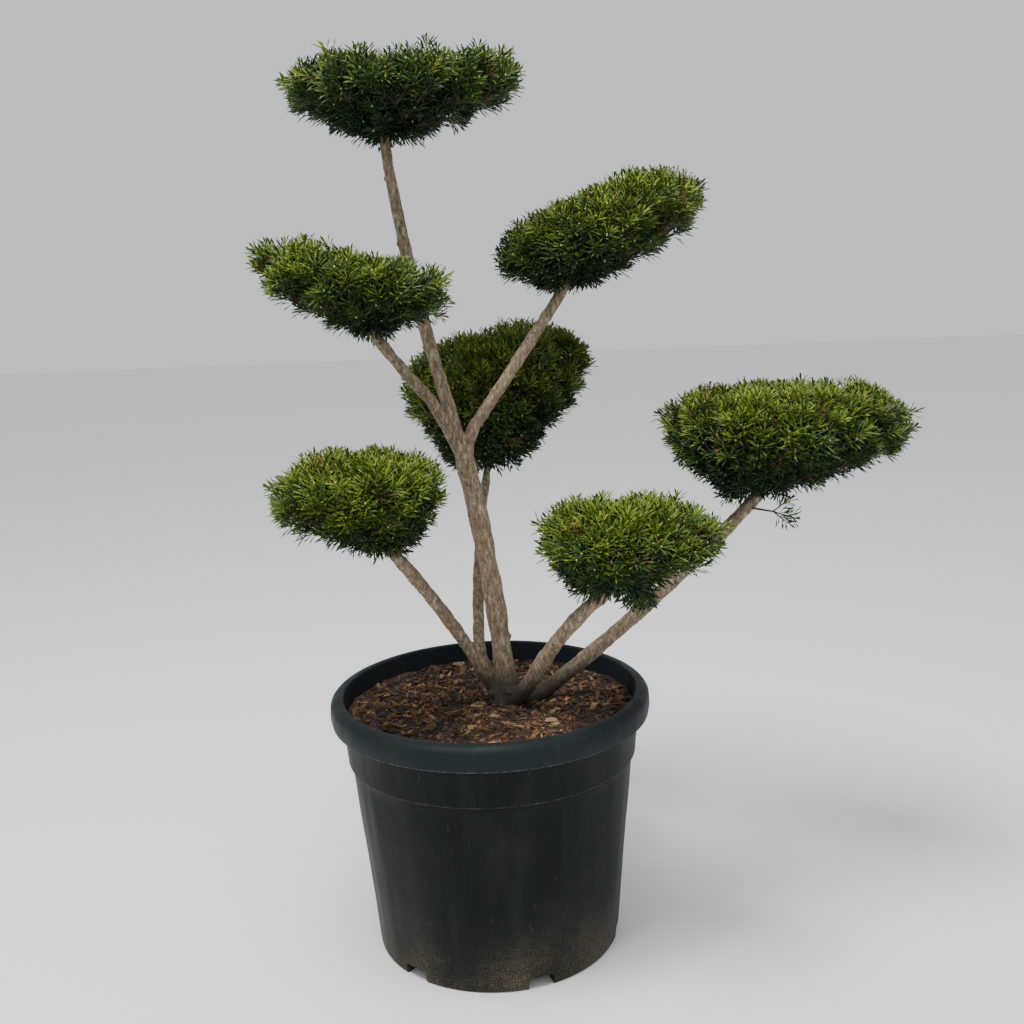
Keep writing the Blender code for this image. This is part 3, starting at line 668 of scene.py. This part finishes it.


# Pads: each limb runs on into a clipped head of yew twigs. Shoots stand on the twigs and end at
# the clipped surface, with flat needles in spirals, in greens painted dark as shade inside and below,
# and yellow-green on top from young growth and painted light.
MASSES = {
    "top_pad": {
        "limb": "leader", "top": (-0.073, 0.030, 1.095), "half": (0.150, 0.127),
        "slope": 0.0, "widest": 0.74, "flank": 0.70, "waist": 0.20, "sunk": 0.012},
    "upper_left_pad": {
        "limb": "left_bough", "top": (-0.135, -0.076, 0.884), "half": (0.114, 0.086),
        "slope": -0.15, "widest": 0.70, "flank": 0.88, "waist": 0.12, "sunk": 0.008},
    "upper_right_pad": {
        "limb": "right_bough", "top": (0.157, 0.068, 0.948), "half": (0.136, 0.107),
        "slope": 0.26, "widest": 0.56, "flank": 0.90, "waist": 0.22, "sunk": 0.0},
    "rear_pad": {
        "limb": "rear_stem", "top": (0.025, 0.195, 0.784), "half": (0.134, 0.120),
        "slope": 0.13, "widest": 0.64, "flank": 0.48, "waist": 0.28, "sunk": 0.003},
    "lower_left_pad": {
        "limb": "left_stem", "top": (-0.140, -0.122, 0.665), "half": (0.102, 0.095),
        "slope": 0.08, "widest": 0.62, "flank": 0.75, "waist": 0.24, "sunk": 0.0},
    "front_pad": {
        "limb": "front_stem", "top": (0.164, -0.134, 0.600), "half": (0.112, 0.100),
        "slope": -0.04, "widest": 0.58, "flank": 0.62, "waist": 0.32, "sunk": 0.0},
    "right_pad": {
        "limb": "right_stem", "top": (0.379, 0.022, 0.708), "half": (0.163, 0.130),
        "slope": -0.03, "widest": 0.58, "flank": 0.75, "waist": 0.26, "sunk": 0.004},
}
TOP_ROUNDNESS = 2.9
FOCUS_SHARE = 0.34              # height share of the place that shoots point away from
SURFACE_STEPS = 300
GOLDEN_TURN = math.pi * (3.0 - math.sqrt(5.0))
STEM_RISE = 0.15
BOUGHS = 16
BOUGH_REACH = 0.55
BOUGH_RADII = (0.0030, 0.0023, 0.0014)
CLUMPS_PER_AREA = 640.0         # branchlets on each square metre of clipped surface
CLUMP_RADIUS = 0.024
CLUMP_LOWEST = 0.05             # height share under which the wood is bare
CLUMP_DEPTH = 0.056             # a branchlet's shoots fan out from this far under the surface
CLUMP_OFFSET = 0.0065           # how unevenly the branchlets were clipped
CLUMP_RADII = (0.0018, 0.0013)
BRIM_RISE = 0.006               # the widest part stands out by this much
BRIM_BAND = 0.13
SURFACE_RISE = 0.002
TOP_DROP = 0.007                # the top lies this much lower than the bell
UNDER_DROP = 0.004              # and the underside this much
FOOT_DRAWN_IN = 0.008           # the lower part is drawn in towards the stem
SHOOTS_PER_CLUMP = 8
SHOOT_SUNK = 0.017              # a shoot's own tip lies this far inside its needles' tips
SHOOT_FALL = 0.011              # and this much more at the edge of its clump
SHOOT_OFFSET = 0.0050
SHOOT_RADII = (0.0011, 0.0006)
# How much painted light a shoot's greens get, by its height in the pad and how far it faces up.
LIT_BY_HEIGHT = 0.46
LIT_FROM_ABOVE = 0.30
RUSTY_GLOW = 1.1                # past full light: a shoot that has turned olive brown
RUSTY_CHANCE = 0.03
INNER_DENSITY = 2.2             # short shoots under the surface, for each branchlet on it
INNER_LOWEST = 0.15
INNER_REACH = 0.66
INNER_LENGTH = 0.040
INNER_NEEDLES = 18
BRIM_SPRAYS = 34                # looser sprays that stand out round the widest part
BRIM_LENGTH = 0.042
SPRAY_BARE = 0.1                # share of a spray's twig that has no needles
NEEDLES = 27
NEEDLE_LENGTH = 0.0200
NEEDLE_WIDTH = 0.0024
NEEDLE_THICKNESS = 0.0010
NEEDLE_SHOULDER = 0.74          # share of its length at which a needle is widest
NEEDLE_FACES = ((0, 1, 3), (0, 3, 2), (0, 2, 1), (4, 3, 1), (4, 2, 3), (4, 1, 2))
FLATTENED = 0.55                # how far a level shoot's needles lie down in two ranks
BUD_RADIUS = 0.0011
BUD_CHANCE = 0.6
PIECE_LIMIT = 190000
# Painted light and shade: shade, dark, mid and bright are shaded and lit copies of one green, dealt by
# how much light a shoot gets; young growth is yellower and painted lighter still where lit; olive is the
# needles' own colour.
GREENS = {
    "needles_shade": (0.013, 0.028, 0.013),
    "needles_dark": (0.026, 0.057, 0.018),
    "needles_mid": (0.045, 0.090, 0.016),
    "needles_bright": (0.073, 0.122, 0.012),
    "needles_young_sunlit": (0.156, 0.205, 0.015),
    "needles_olive": (0.140, 0.090, 0.024),
}
SHADE, DARK, MID, BRIGHT, YOUNG_SUNLIT, OLIVE = range(len(GREENS))
BUD_YELLOW = (0.42, 0.40, 0.16)
# Painted light added to each pad's greens.
SUNLIT = {
    "top_pad": -0.06, "upper_left_pad": 0.04, "upper_right_pad": -0.02, "rear_pad": 0.0,
    "lower_left_pad": 0.12, "front_pad": 0.08, "right_pad": -0.03}
LOW_LOBES = (                   # middle, how many shoots, and how much painted light their greens get
    ((0.174, -0.128, 0.464), 12, 0.45),
    ((-0.115, -0.118, 0.538), 10, 0.40),
    ((0.262, 0.018, 0.602), 7, 0.42),
)
LOBE_RADIUS = 0.017
LOBE_NEEDLES = 30
LEADER_TUFT = (                 # way of each shoot and its glow: painted light in its greens, RUSTY_GLOW for olive brown
    ((0.026, -0.010, 0.010), RUSTY_GLOW),
    ((0.020, -0.004, -0.006), RUSTY_GLOW),
    ((0.010, -0.018, 0.004), 0.5),
)
SIDE_TWIG = ((0.024, -0.010, -0.008), (0.016, -0.006, 0.014), (0.014, -0.014, -0.012))


class Mass:
    """The space of one clipped pad: a skewed bell that opens upwards from its limb's tip."""

    def __init__(self, name):
        sizes = MASSES[name]
        limb = LIMBS[sizes["limb"]]
        self.half, self.slope, self.sunk = sizes["half"], sizes["slope"], sizes["sunk"]
        self.widest, self.flank, self.waist = sizes["widest"], sizes["flank"], sizes["waist"]
        self.tip = Vector(limb["tip"])
        self.way = heading(limb, 1.0)
        self.limb_radius = limb["radii"][1]
        self.top = Vector(sizes["top"])
        self.height = self.top.z - self.tip.z
        self.focus = self.point(FOCUS_SHARE, 0.0, 0.0)

    def girth(self, share):
        """Half-width at a height share, as a share of the widest."""
        if share < self.widest:
            return self.waist + (1.0 - self.waist) * max(share / self.widest, 0.0) ** self.flank
        dome = min((share - self.widest) / (1.0 - self.widest), 1.0)
        return (1.0 - dome ** TOP_ROUNDNESS) ** (1.0 / TOP_ROUNDNESS)

    def point(self, share, turn, out):
        """Point of the space at a height share and a turn round it, out = 1 on its surface."""
        lean = min(share / self.widest, 1.0)
        reach = self.girth(share) * out
        x = self.tip.x + (self.top.x - self.tip.x) * lean + self.half[0] * reach * math.cos(turn)
        y = self.tip.y + (self.top.y - self.tip.y) * lean + self.half[1] * reach * math.sin(turn)
        z = self.tip.z + self.height * share + lean * self.slope * (x - self.top.x)
        return Vector((x, y, z))

    def spots(self, density):
        """Evenly spread spots on the surface, along a golden-angle spiral up to the top."""
        shares = [0.03 + 0.97 * step / SURFACE_STEPS for step in range(SURFACE_STEPS + 1)]
        area = [0.0]
        for low, high in zip(shares, shares[1:]):
            rise = (high - low) * self.height
            spread = (self.girth(high) - self.girth(low)) * self.half[0]
            girths = self.girth(high) + self.girth(low)
            band = math.pi * girths * (self.half[0] + self.half[1]) / 2.0
            area.append(area[-1] + math.hypot(rise, spread) * band)
        count = round(area[-1] * density)
        rises = [float(np.interp(area[-1] * (index + 0.5) / count, area, shares))
                 for index in range(count)]
        return [(rise, index * GOLDEN_TURN) for index, rise in enumerate(rises)]


class Foliage:
    """What has grown so far: needles by colour, twigs and buds, for the joined meshes."""

    def __init__(self):
        self.needles = {name: [] for name in GREENS}
        self.twigs = []
        self.buds = []

    def add_needles(self, colour, bases, ways, lengths, ups):
        """Needles of one colour, by their bases, directions, lengths and upper sides."""
        self.needles[colour].append((bases, ways, lengths, ups))

    def add_twig(self, start, end, first, last):
        """A straight twig of three sides."""
        self.twigs.append((start, end, first, last))


def unit(vectors):
    """Each row of an array at length one."""
    return vectors / np.maximum(np.linalg.norm(vectors, axis=1, keepdims=True), 1e-9)


def needle_colours(chance, glow, run):
    """Deal the greens to one shoot: darker where it is shaded, younger towards its tip."""
    pick = chance.random(len(run))
    young = run > 0.60
    if glow > 1.0:
        return np.where(young & (pick > 0.35), OLIVE, MID)
    if glow < 0.20:
        return np.where(pick < 0.60, SHADE, DARK)
    if glow < 0.42:
        return np.where(pick < 0.22, SHADE, np.where(young & (pick > 0.72), MID, DARK))
    if glow < 0.62:
        return np.where(young & (pick > 0.60), BRIGHT, np.where(pick < 0.45, DARK, MID))
    if glow < 0.80:
        return np.where(young, np.where(pick > 0.80, YOUNG_SUNLIT, BRIGHT), np.where(pick < 0.45, DARK, MID))
    return np.where(young, np.where(pick > 0.45, YOUNG_SUNLIT, BRIGHT), np.where(pick < 0.50, MID, BRIGHT))


def grow_shoot(foliage, root, tip, chance, glow, count=NEEDLES, bare=0.22):
    """One shoot: a thin twig with needles in a spiral, in two flatter ranks where it lies level."""
    axis = np.array(tip - root)
    length = np.linalg.norm(axis)
    axis /= length
    side = np.cross(axis, (0.0, 0.0, 1.0))
    if np.linalg.norm(side) < 0.05:
        side = np.array((1.0, 0.0, 0.0))
    side /= np.linalg.norm(side)
    above = np.cross(side, axis)
    level = math.sqrt(max(1.0 - axis[2] ** 2, 0.0))
    index = np.arange(count)
    run = bare + (1.0 - bare) * (index + 0.5) / count
    turn = index * GOLDEN_TURN + chance.uniform(0, math.tau) + chance.normal(0.0, 0.25, count)
    upright = np.sin(turn) * (1.0 - FLATTENED * level)
    radial = unit(np.cos(turn)[:, None] * side + upright[:, None] * above)
    closing = 1.2 * np.clip((run - 0.90) / 0.10, 0, 1)
    forward = 0.52 + 0.50 * run + closing + chance.normal(0.0, 0.12, count)
    ways = unit(radial + forward[:, None] * axis + chance.normal(0.0, 0.08, (count, 3)))
    ways[:, 2] += 0.10
    ways = unit(ways)
    lengths = NEEDLE_LENGTH * chance.uniform(0.74, 1.12, count)
    lengths *= 1.0 - 0.45 * np.clip((run - 0.82) / 0.18, 0, 1)
    bases = np.array(root) + (run * length)[:, None] * axis
    ups = unit(axis[None, :] * 0.9 - radial * 0.4 + above * 0.6)
    picks = needle_colours(chance, glow, run)
    names = list(GREENS)
    for pick in np.unique(picks):
        chosen = picks == pick
        foliage.add_needles(names[pick], bases[chosen], ways[chosen], lengths[chosen], ups[chosen])
    foliage.add_twig(root, tip, *SHOOT_RADII)
    if chance.random() < BUD_CHANCE:
        foliage.buds.append(np.array(tip) + chance.normal(0.0, 0.0014, 3) + axis * 0.001)


def grow_boughs(foliage, mass):
    """Stem and golden-angle boughs inside a pad. Gives the joints that branchlets can leave."""
    start = mass.tip - mass.way * 0.002
    bend = mass.tip + mass.way * 0.014
    end = mass.focus.lerp(mass.top, STEM_RISE)
    foliage.add_twig(start, bend, mass.limb_radius * 0.75, mass.limb_radius * 0.70)
    foliage.add_twig(bend, end, mass.limb_radius * 0.70, BOUGH_RADII[0])
    joints = [bend, bend.lerp(end, 0.5), end]
    for index in range(BOUGHS):
        root = bend.lerp(end, 0.95 * index / BOUGHS)
        height = mass.widest * (0.62 + 0.34 * ((index * 7) % BOUGHS) / BOUGHS)
        tip = mass.point(height, index * GOLDEN_TURN, BOUGH_REACH)
        middle = root.lerp(tip, 0.5) + Vector((0, 0, 0.004))
        foliage.add_twig(root, middle, BOUGH_RADII[0], BOUGH_RADII[1])
        foliage.add_twig(middle, tip, BOUGH_RADII[1], BOUGH_RADII[2])
        joints += [root.lerp(middle, 0.5), middle, middle.lerp(tip, 0.5), tip]
    return joints


def grow_clump(foliage, mass, share, turn, joints, sun, chance):
    """One branchlet from the nearest joint, with shoots that fan out to the clipped surface."""
    surface = mass.point(share, turn + chance.uniform(-0.08, 0.08), 1.0)
    out = (surface - mass.focus).normalized()
    reach = (surface - mass.focus).length
    brim = math.exp(-((share - mass.widest) / BRIM_BAND) ** 2)
    crest = surface + out * (BRIM_RISE * brim + SURFACE_RISE - abs(chance.normal(0.0, CLUMP_OFFSET)))
    crest.z -= (TOP_DROP + mass.sunk) * max(out.z, 0.0) - UNDER_DROP * min(out.z, 0.0)
    crest.xy -= out.xy * (FOOT_DRAWN_IN * max(1.0 - share / mass.widest, 0.0))
    depth = min(CLUMP_DEPTH * chance.uniform(0.85, 1.25), reach * 0.8)
    base = crest - (out + Vector((0, 0, 0.35))).normalized() * depth
    gaps = np.sum((joints - np.array(base)) ** 2, axis=1)
    foliage.add_twig(joints[int(np.argmin(gaps))], base, *CLUMP_RADII)
    across = out.orthogonal().normalized()
    along_surface = out.cross(across)
    # Painted light: shoots high in the pad and facing up get lighter greens.
    lit = LIT_BY_HEIGHT * share / mass.widest + LIT_FROM_ABOVE * max(out.z, -0.4) + sun
    clump_glow = chance.normal(0.0, 0.06)
    for shoot in range(SHOOTS_PER_CLUMP):
        spread = math.sqrt((shoot + 0.3) / SHOOTS_PER_CLUMP) * CLUMP_RADIUS
        swing = shoot * GOLDEN_TURN + chance.uniform(0.0, 0.8)
        offset = across * math.cos(swing) * spread + along_surface * math.sin(swing) * spread
        tip = crest + offset - out * (SHOOT_SUNK + SHOOT_FALL * (spread / CLUMP_RADIUS) ** 2)
        tip += out * (0.002 - abs(chance.normal(0.0, SHOOT_OFFSET))) + Vector((0, 0, 0.002))
        root = base.lerp(tip, chance.uniform(0.05, 0.30))
        glow = min(lit + clump_glow + chance.normal(0.0, 0.09), 0.99)
        if chance.random() < RUSTY_CHANCE:
            glow = RUSTY_GLOW
        grow_shoot(foliage, root, tip, chance, glow)


def grow_mass(foliage, name, seed):
    """One pad: boughs, clumps of shoots over its surface, brim sprays and an inner layer in painted
    shade.
    """
    mass = Mass(name)
    chance = np.random.default_rng(seed)
    joints = np.array([tuple(joint) for joint in grow_boughs(foliage, mass)])
    for share, turn in mass.spots(CLUMPS_PER_AREA):
        if share >= CLUMP_LOWEST:
            grow_clump(foliage, mass, share, turn, joints, SUNLIT[name], chance)
    for _ in range(BRIM_SPRAYS):
        share = mass.widest + chance.normal(0.0, 0.10)
        surface = mass.point(share, chance.uniform(0.0, math.tau), 1.0)
        out = (surface - mass.focus).normalized()
        tip = surface - out * chance.uniform(0.003, 0.015)
        tip.z += chance.uniform(-0.006, 0.004)
        glow = chance.uniform(0.45, 0.9)
        grow_shoot(foliage, tip - out * BRIM_LENGTH, tip, chance, glow, NEEDLES, SPRAY_BARE)
    for share, turn in mass.spots(CLUMPS_PER_AREA * INNER_DENSITY):
        if share >= INNER_LOWEST:
            tip = mass.focus.lerp(mass.point(share, turn + 1.0, 1.0), INNER_REACH)
            root = tip - (tip - mass.focus).normalized() * INNER_LENGTH
            # Painted shade: the inner shoots get the darkest greens.
            grow_shoot(foliage, root, tip, chance, 0.10, INNER_NEEDLES, SPRAY_BARE)


def grow_loose_shoots(foliage):
    """What isn't part of a round pad: a tuft on the leader, low lobes and a side twig."""
    chance = np.random.default_rng(77)
    on_leader = along(LIMBS["leader"], 0.33) + Vector((0.005, -0.004, 0.0))
    for way, glow in LEADER_TUFT:
        grow_shoot(foliage, on_leader, on_leader + Vector(way), chance, glow, 22, 0.2)
    for spot, number, light in LOW_LOBES:
        middle = Vector(spot)
        for index in range(number):
            swing = index * GOLDEN_TURN
            spread = LOBE_RADIUS * math.sqrt((index + 0.5) / number)
            drop = chance.uniform(-0.004, 0.008)
            tip = middle + Vector((spread * math.cos(swing), spread * math.sin(swing), drop))
            root = middle + Vector((0.0, 0.012, 0.034)) + (tip - middle) * 0.4
            glow = light + chance.normal(0.0, 0.08)
            grow_shoot(foliage, root, tip, chance, glow, LOBE_NEEDLES, SPRAY_BARE)
    on_right = along(LIMBS["right_stem"], 0.985) + Vector((0.0, -0.006, -0.002))
    knuckle = on_right + Vector((0.026, -0.010, -0.004))
    foliage.add_twig(on_right, knuckle, 0.0020, 0.0014)
    for way in SIDE_TWIG:
        grow_shoot(foliage, knuckle, knuckle + Vector(way), chance, 0.45, 20, 0.25)


def repeated(points, pattern):
    """Points and faces of all copies of a shape, from each copy's points and one copy's faces."""
    firsts = np.arange(points.shape[0]) * points.shape[1]
    faces = firsts[:, None, None] + np.array(pattern)[None, :, :]
    return points.reshape(-1, 3), faces.reshape(-1, 3)


def needle_mesh(bases, ways, lengths, ups):
    """Many needles at once: three-edged, widest near their blunt tips, which bend down a little."""
    side = unit(np.cross(ways, ups))
    crest = np.cross(side, ways)
    half = side * (NEEDLE_WIDTH / 2.0)
    ridge = crest * NEEDLE_THICKNESS
    shoulder = bases + ways * (lengths * NEEDLE_SHOULDER)[:, None]
    tips = bases + ways * lengths[:, None] - crest * (lengths * 0.05)[:, None]
    points = np.stack((bases, shoulder + half - ridge * 0.25, shoulder - half - ridge * 0.25,
                       shoulder + ridge * 0.75, tips), axis=1)
    return repeated(points, NEEDLE_FACES)


def bud_mesh(middles):
    """Many small eight-sided buds at once."""
    corners = np.array(((1, 0, 0), (0, 1, 0), (-1, 0, 0), (0, -1, 0), (0, 0, 1.5), (0, 0, -1.5)))
    points = np.array(middles)[:, None, :] + corners[None, :, :] * BUD_RADIUS
    pattern = []
    for corner in range(4):
        after = (corner + 1) % 4
        pattern += [(corner, after, 4), (after, corner, 5)]
    return repeated(points, pattern)


def twig_mesh(twigs):
    """Many straight three-sided twigs at once."""
    starts = np.array([list(item[0]) for item in twigs])
    ends = np.array([list(item[1]) for item in twigs])
    radii = np.array([(item[2], item[3]) for item in twigs])
    ways = unit(ends - starts)
    side = unit(np.cross(ways, np.array((0.31, 0.52, 0.79))))
    above = np.cross(side, ways)
    rings = []
    for point, column in ((starts, 0), (ends, 1)):
        for corner in range(3):
            angle = corner * math.tau / 3
            arm = side * math.cos(angle) + above * math.sin(angle)
            rings.append(point + arm * radii[:, column][:, None])
    pattern = [(0, 1, 2), (3, 5, 4)]
    for corner in range(3):
        after = (corner + 1) % 3
        pattern += [(corner, corner + 3, after), (after, corner + 3, after + 3)]
    return repeated(np.stack(rings, axis=1), pattern)


def needle_material(name, colour):
    """Waxy surface of one colour, a little lighter or darker from shoot to shoot."""
    material, shader = plain_material(name, colour, 0.50)
    shader.inputs["Specular IOR Level"].default_value = 0.24
    tone = noise_on_object(material, 55.0, 3.0)
    darker = tuple(value * 0.62 for value in colour)
    lighter = tuple(min(value * 1.35, 1.0) for value in colour)
    shade = ramp(material, tone, [(0.32, darker), (0.5, colour), (0.68, lighter)])
    material.node_tree.links.new(shade, shader.inputs["Base Color"])
    return material


def joined_piece(name, points, faces, material, replaced):
    """One joined mesh from arrays, riding with the plant."""
    mesh = bpy.data.meshes.new(name)
    mesh.from_pydata(points, [], faces)
    mesh.materials.append(material)
    piece = bpy.data.objects.new(name, mesh)
    bpy.context.scene.collection.objects.link(piece)
    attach(piece, "root")
    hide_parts(*replaced)


def build_foliage():
    """Grow the seven pads, then join the needles colour by colour, and the twigs."""
    foliage = Foliage()
    for index, name in enumerate(MASSES):
        grow_mass(foliage, name, 100 + index)
    grow_loose_shoots(foliage)
    for name, sprays in foliage.needles.items():
        bases, ways, lengths, ups = (np.concatenate(arrays) for arrays in zip(*sprays))
        material = needle_material(name, GREENS[name])
        parts = math.ceil(len(bases) * len(NEEDLE_FACES) / PIECE_LIMIT)
        for part in range(parts):
            rows = slice(part * len(bases) // parts, (part + 1) * len(bases) // parts)
            points, faces = needle_mesh(bases[rows], ways[rows], lengths[rows], ups[rows])
            joined_piece(f"{name}_{part + 1}", points, faces, material, MASSES)
    points, faces = bud_mesh(foliage.buds)
    joined_piece("buds", points, faces, needle_material("bud_scales", BUD_YELLOW), MASSES)
    points, faces = twig_mesh(foliage.twigs)
    twig_bark, shader = plain_material("twig_bark", (0.06, 0.05, 0.025), 0.8)
    tone = noise_on_object(twig_bark, 90.0, 4.0)
    shade = ramp(twig_bark, tone,
                 [(0.35, (0.020, 0.022, 0.008)), (0.65, (0.080, 0.058, 0.030))])
    twig_bark.node_tree.links.new(shade, shader.inputs["Base Color"])
    joined_piece("twigs", points, faces, twig_bark, MASSES)


build_foliage()


# Floor, light and camera: a plain pale floor, soft light from above and a little in front, and
# the camera that the photo was taken with, worked out from the pot's ellipses.
CAMERA_DISTANCE = 1.4056
CAMERA_HEIGHT = 0.8289
CAMERA_FOCAL_PIXELS = 1170.388
CAMERA_PITCH = 0.1957
CAMERA_YAW = 0.0259
CAMERA_ROLL = -0.0379
IMAGE_PIXELS = 1024
LIGHT_AIM = Vector((0.05, 0.0, 0.6))


def build_floor():
    """A wide pale floor, level with the pot's foot."""
    bm = bmesh.new()
    bmesh.ops.create_grid(bm, x_segments=1, y_segments=1, size=12.0)
    mesh = bpy.data.meshes.new("floor")
    bm.to_mesh(mesh)
    bm.free()
    material, _ = plain_material("pale_floor", (0.88, 0.88, 0.87), 0.9)
    mesh.materials.append(material)
    floor = bpy.data.objects.new("floor", mesh)
    bpy.context.scene.collection.objects.link(floor)


def build_camera():
    """Camera at the photo's place: its distance, height, yaw, pitch and roll."""
    ahead = Vector((math.sin(CAMERA_YAW) * math.cos(CAMERA_PITCH),
                    math.cos(CAMERA_YAW) * math.cos(CAMERA_PITCH), -math.sin(CAMERA_PITCH)))
    right = Vector((math.cos(CAMERA_YAW), -math.sin(CAMERA_YAW), 0.0))
    up = right.cross(ahead)
    rolled_right = right * math.cos(CAMERA_ROLL) + up * math.sin(CAMERA_ROLL)
    rolled_up = up * math.cos(CAMERA_ROLL) - right * math.sin(CAMERA_ROLL)
    place = Matrix((rolled_right, rolled_up, -ahead)).transposed().to_4x4()
    place.translation = (0.0, -CAMERA_DISTANCE, CAMERA_HEIGHT)
    lens = bpy.data.cameras.new("camera")
    lens.sensor_width = 36.0
    lens.lens = CAMERA_FOCAL_PIXELS / IMAGE_PIXELS * lens.sensor_width
    camera = bpy.data.objects.new("camera", lens)
    camera.matrix_world = place
    bpy.context.scene.collection.objects.link(camera)
    bpy.context.scene.camera = camera


def area_light(name, place, size, power, colour=(1.0, 1.0, 1.0)):
    """A soft square light that looks at the middle of the plant."""
    light = bpy.data.lights.new(name, "AREA")
    light.size = size
    light.energy = power
    light.color = colour
    item = bpy.data.objects.new(name, light)
    item.location = place
    item.rotation_euler = (LIGHT_AIM - Vector(place)).to_track_quat("-Z", "Y").to_euler()
    bpy.context.scene.collection.objects.link(item)


def build_light():
    """Bright overcast sky: a large light overhead, a softer one in front, and a pale world."""
    area_light("sky_light", (-0.5, -0.7, 3.0), 1.1, 104.0, (1.0, 0.98, 0.94))
    area_light("front_light", (0.9, -3.2, 1.6), 2.4, 9.0)
    world = bpy.data.worlds.new("pale_sky")
    world.use_nodes = True
    background = world.node_tree.nodes["Background"]
    background.inputs["Color"].default_value = (0.93, 0.96, 1.0, 1.0)
    background.inputs["Strength"].default_value = 0.84
    bpy.context.scene.world = world


build_floor()
build_camera()
build_light()
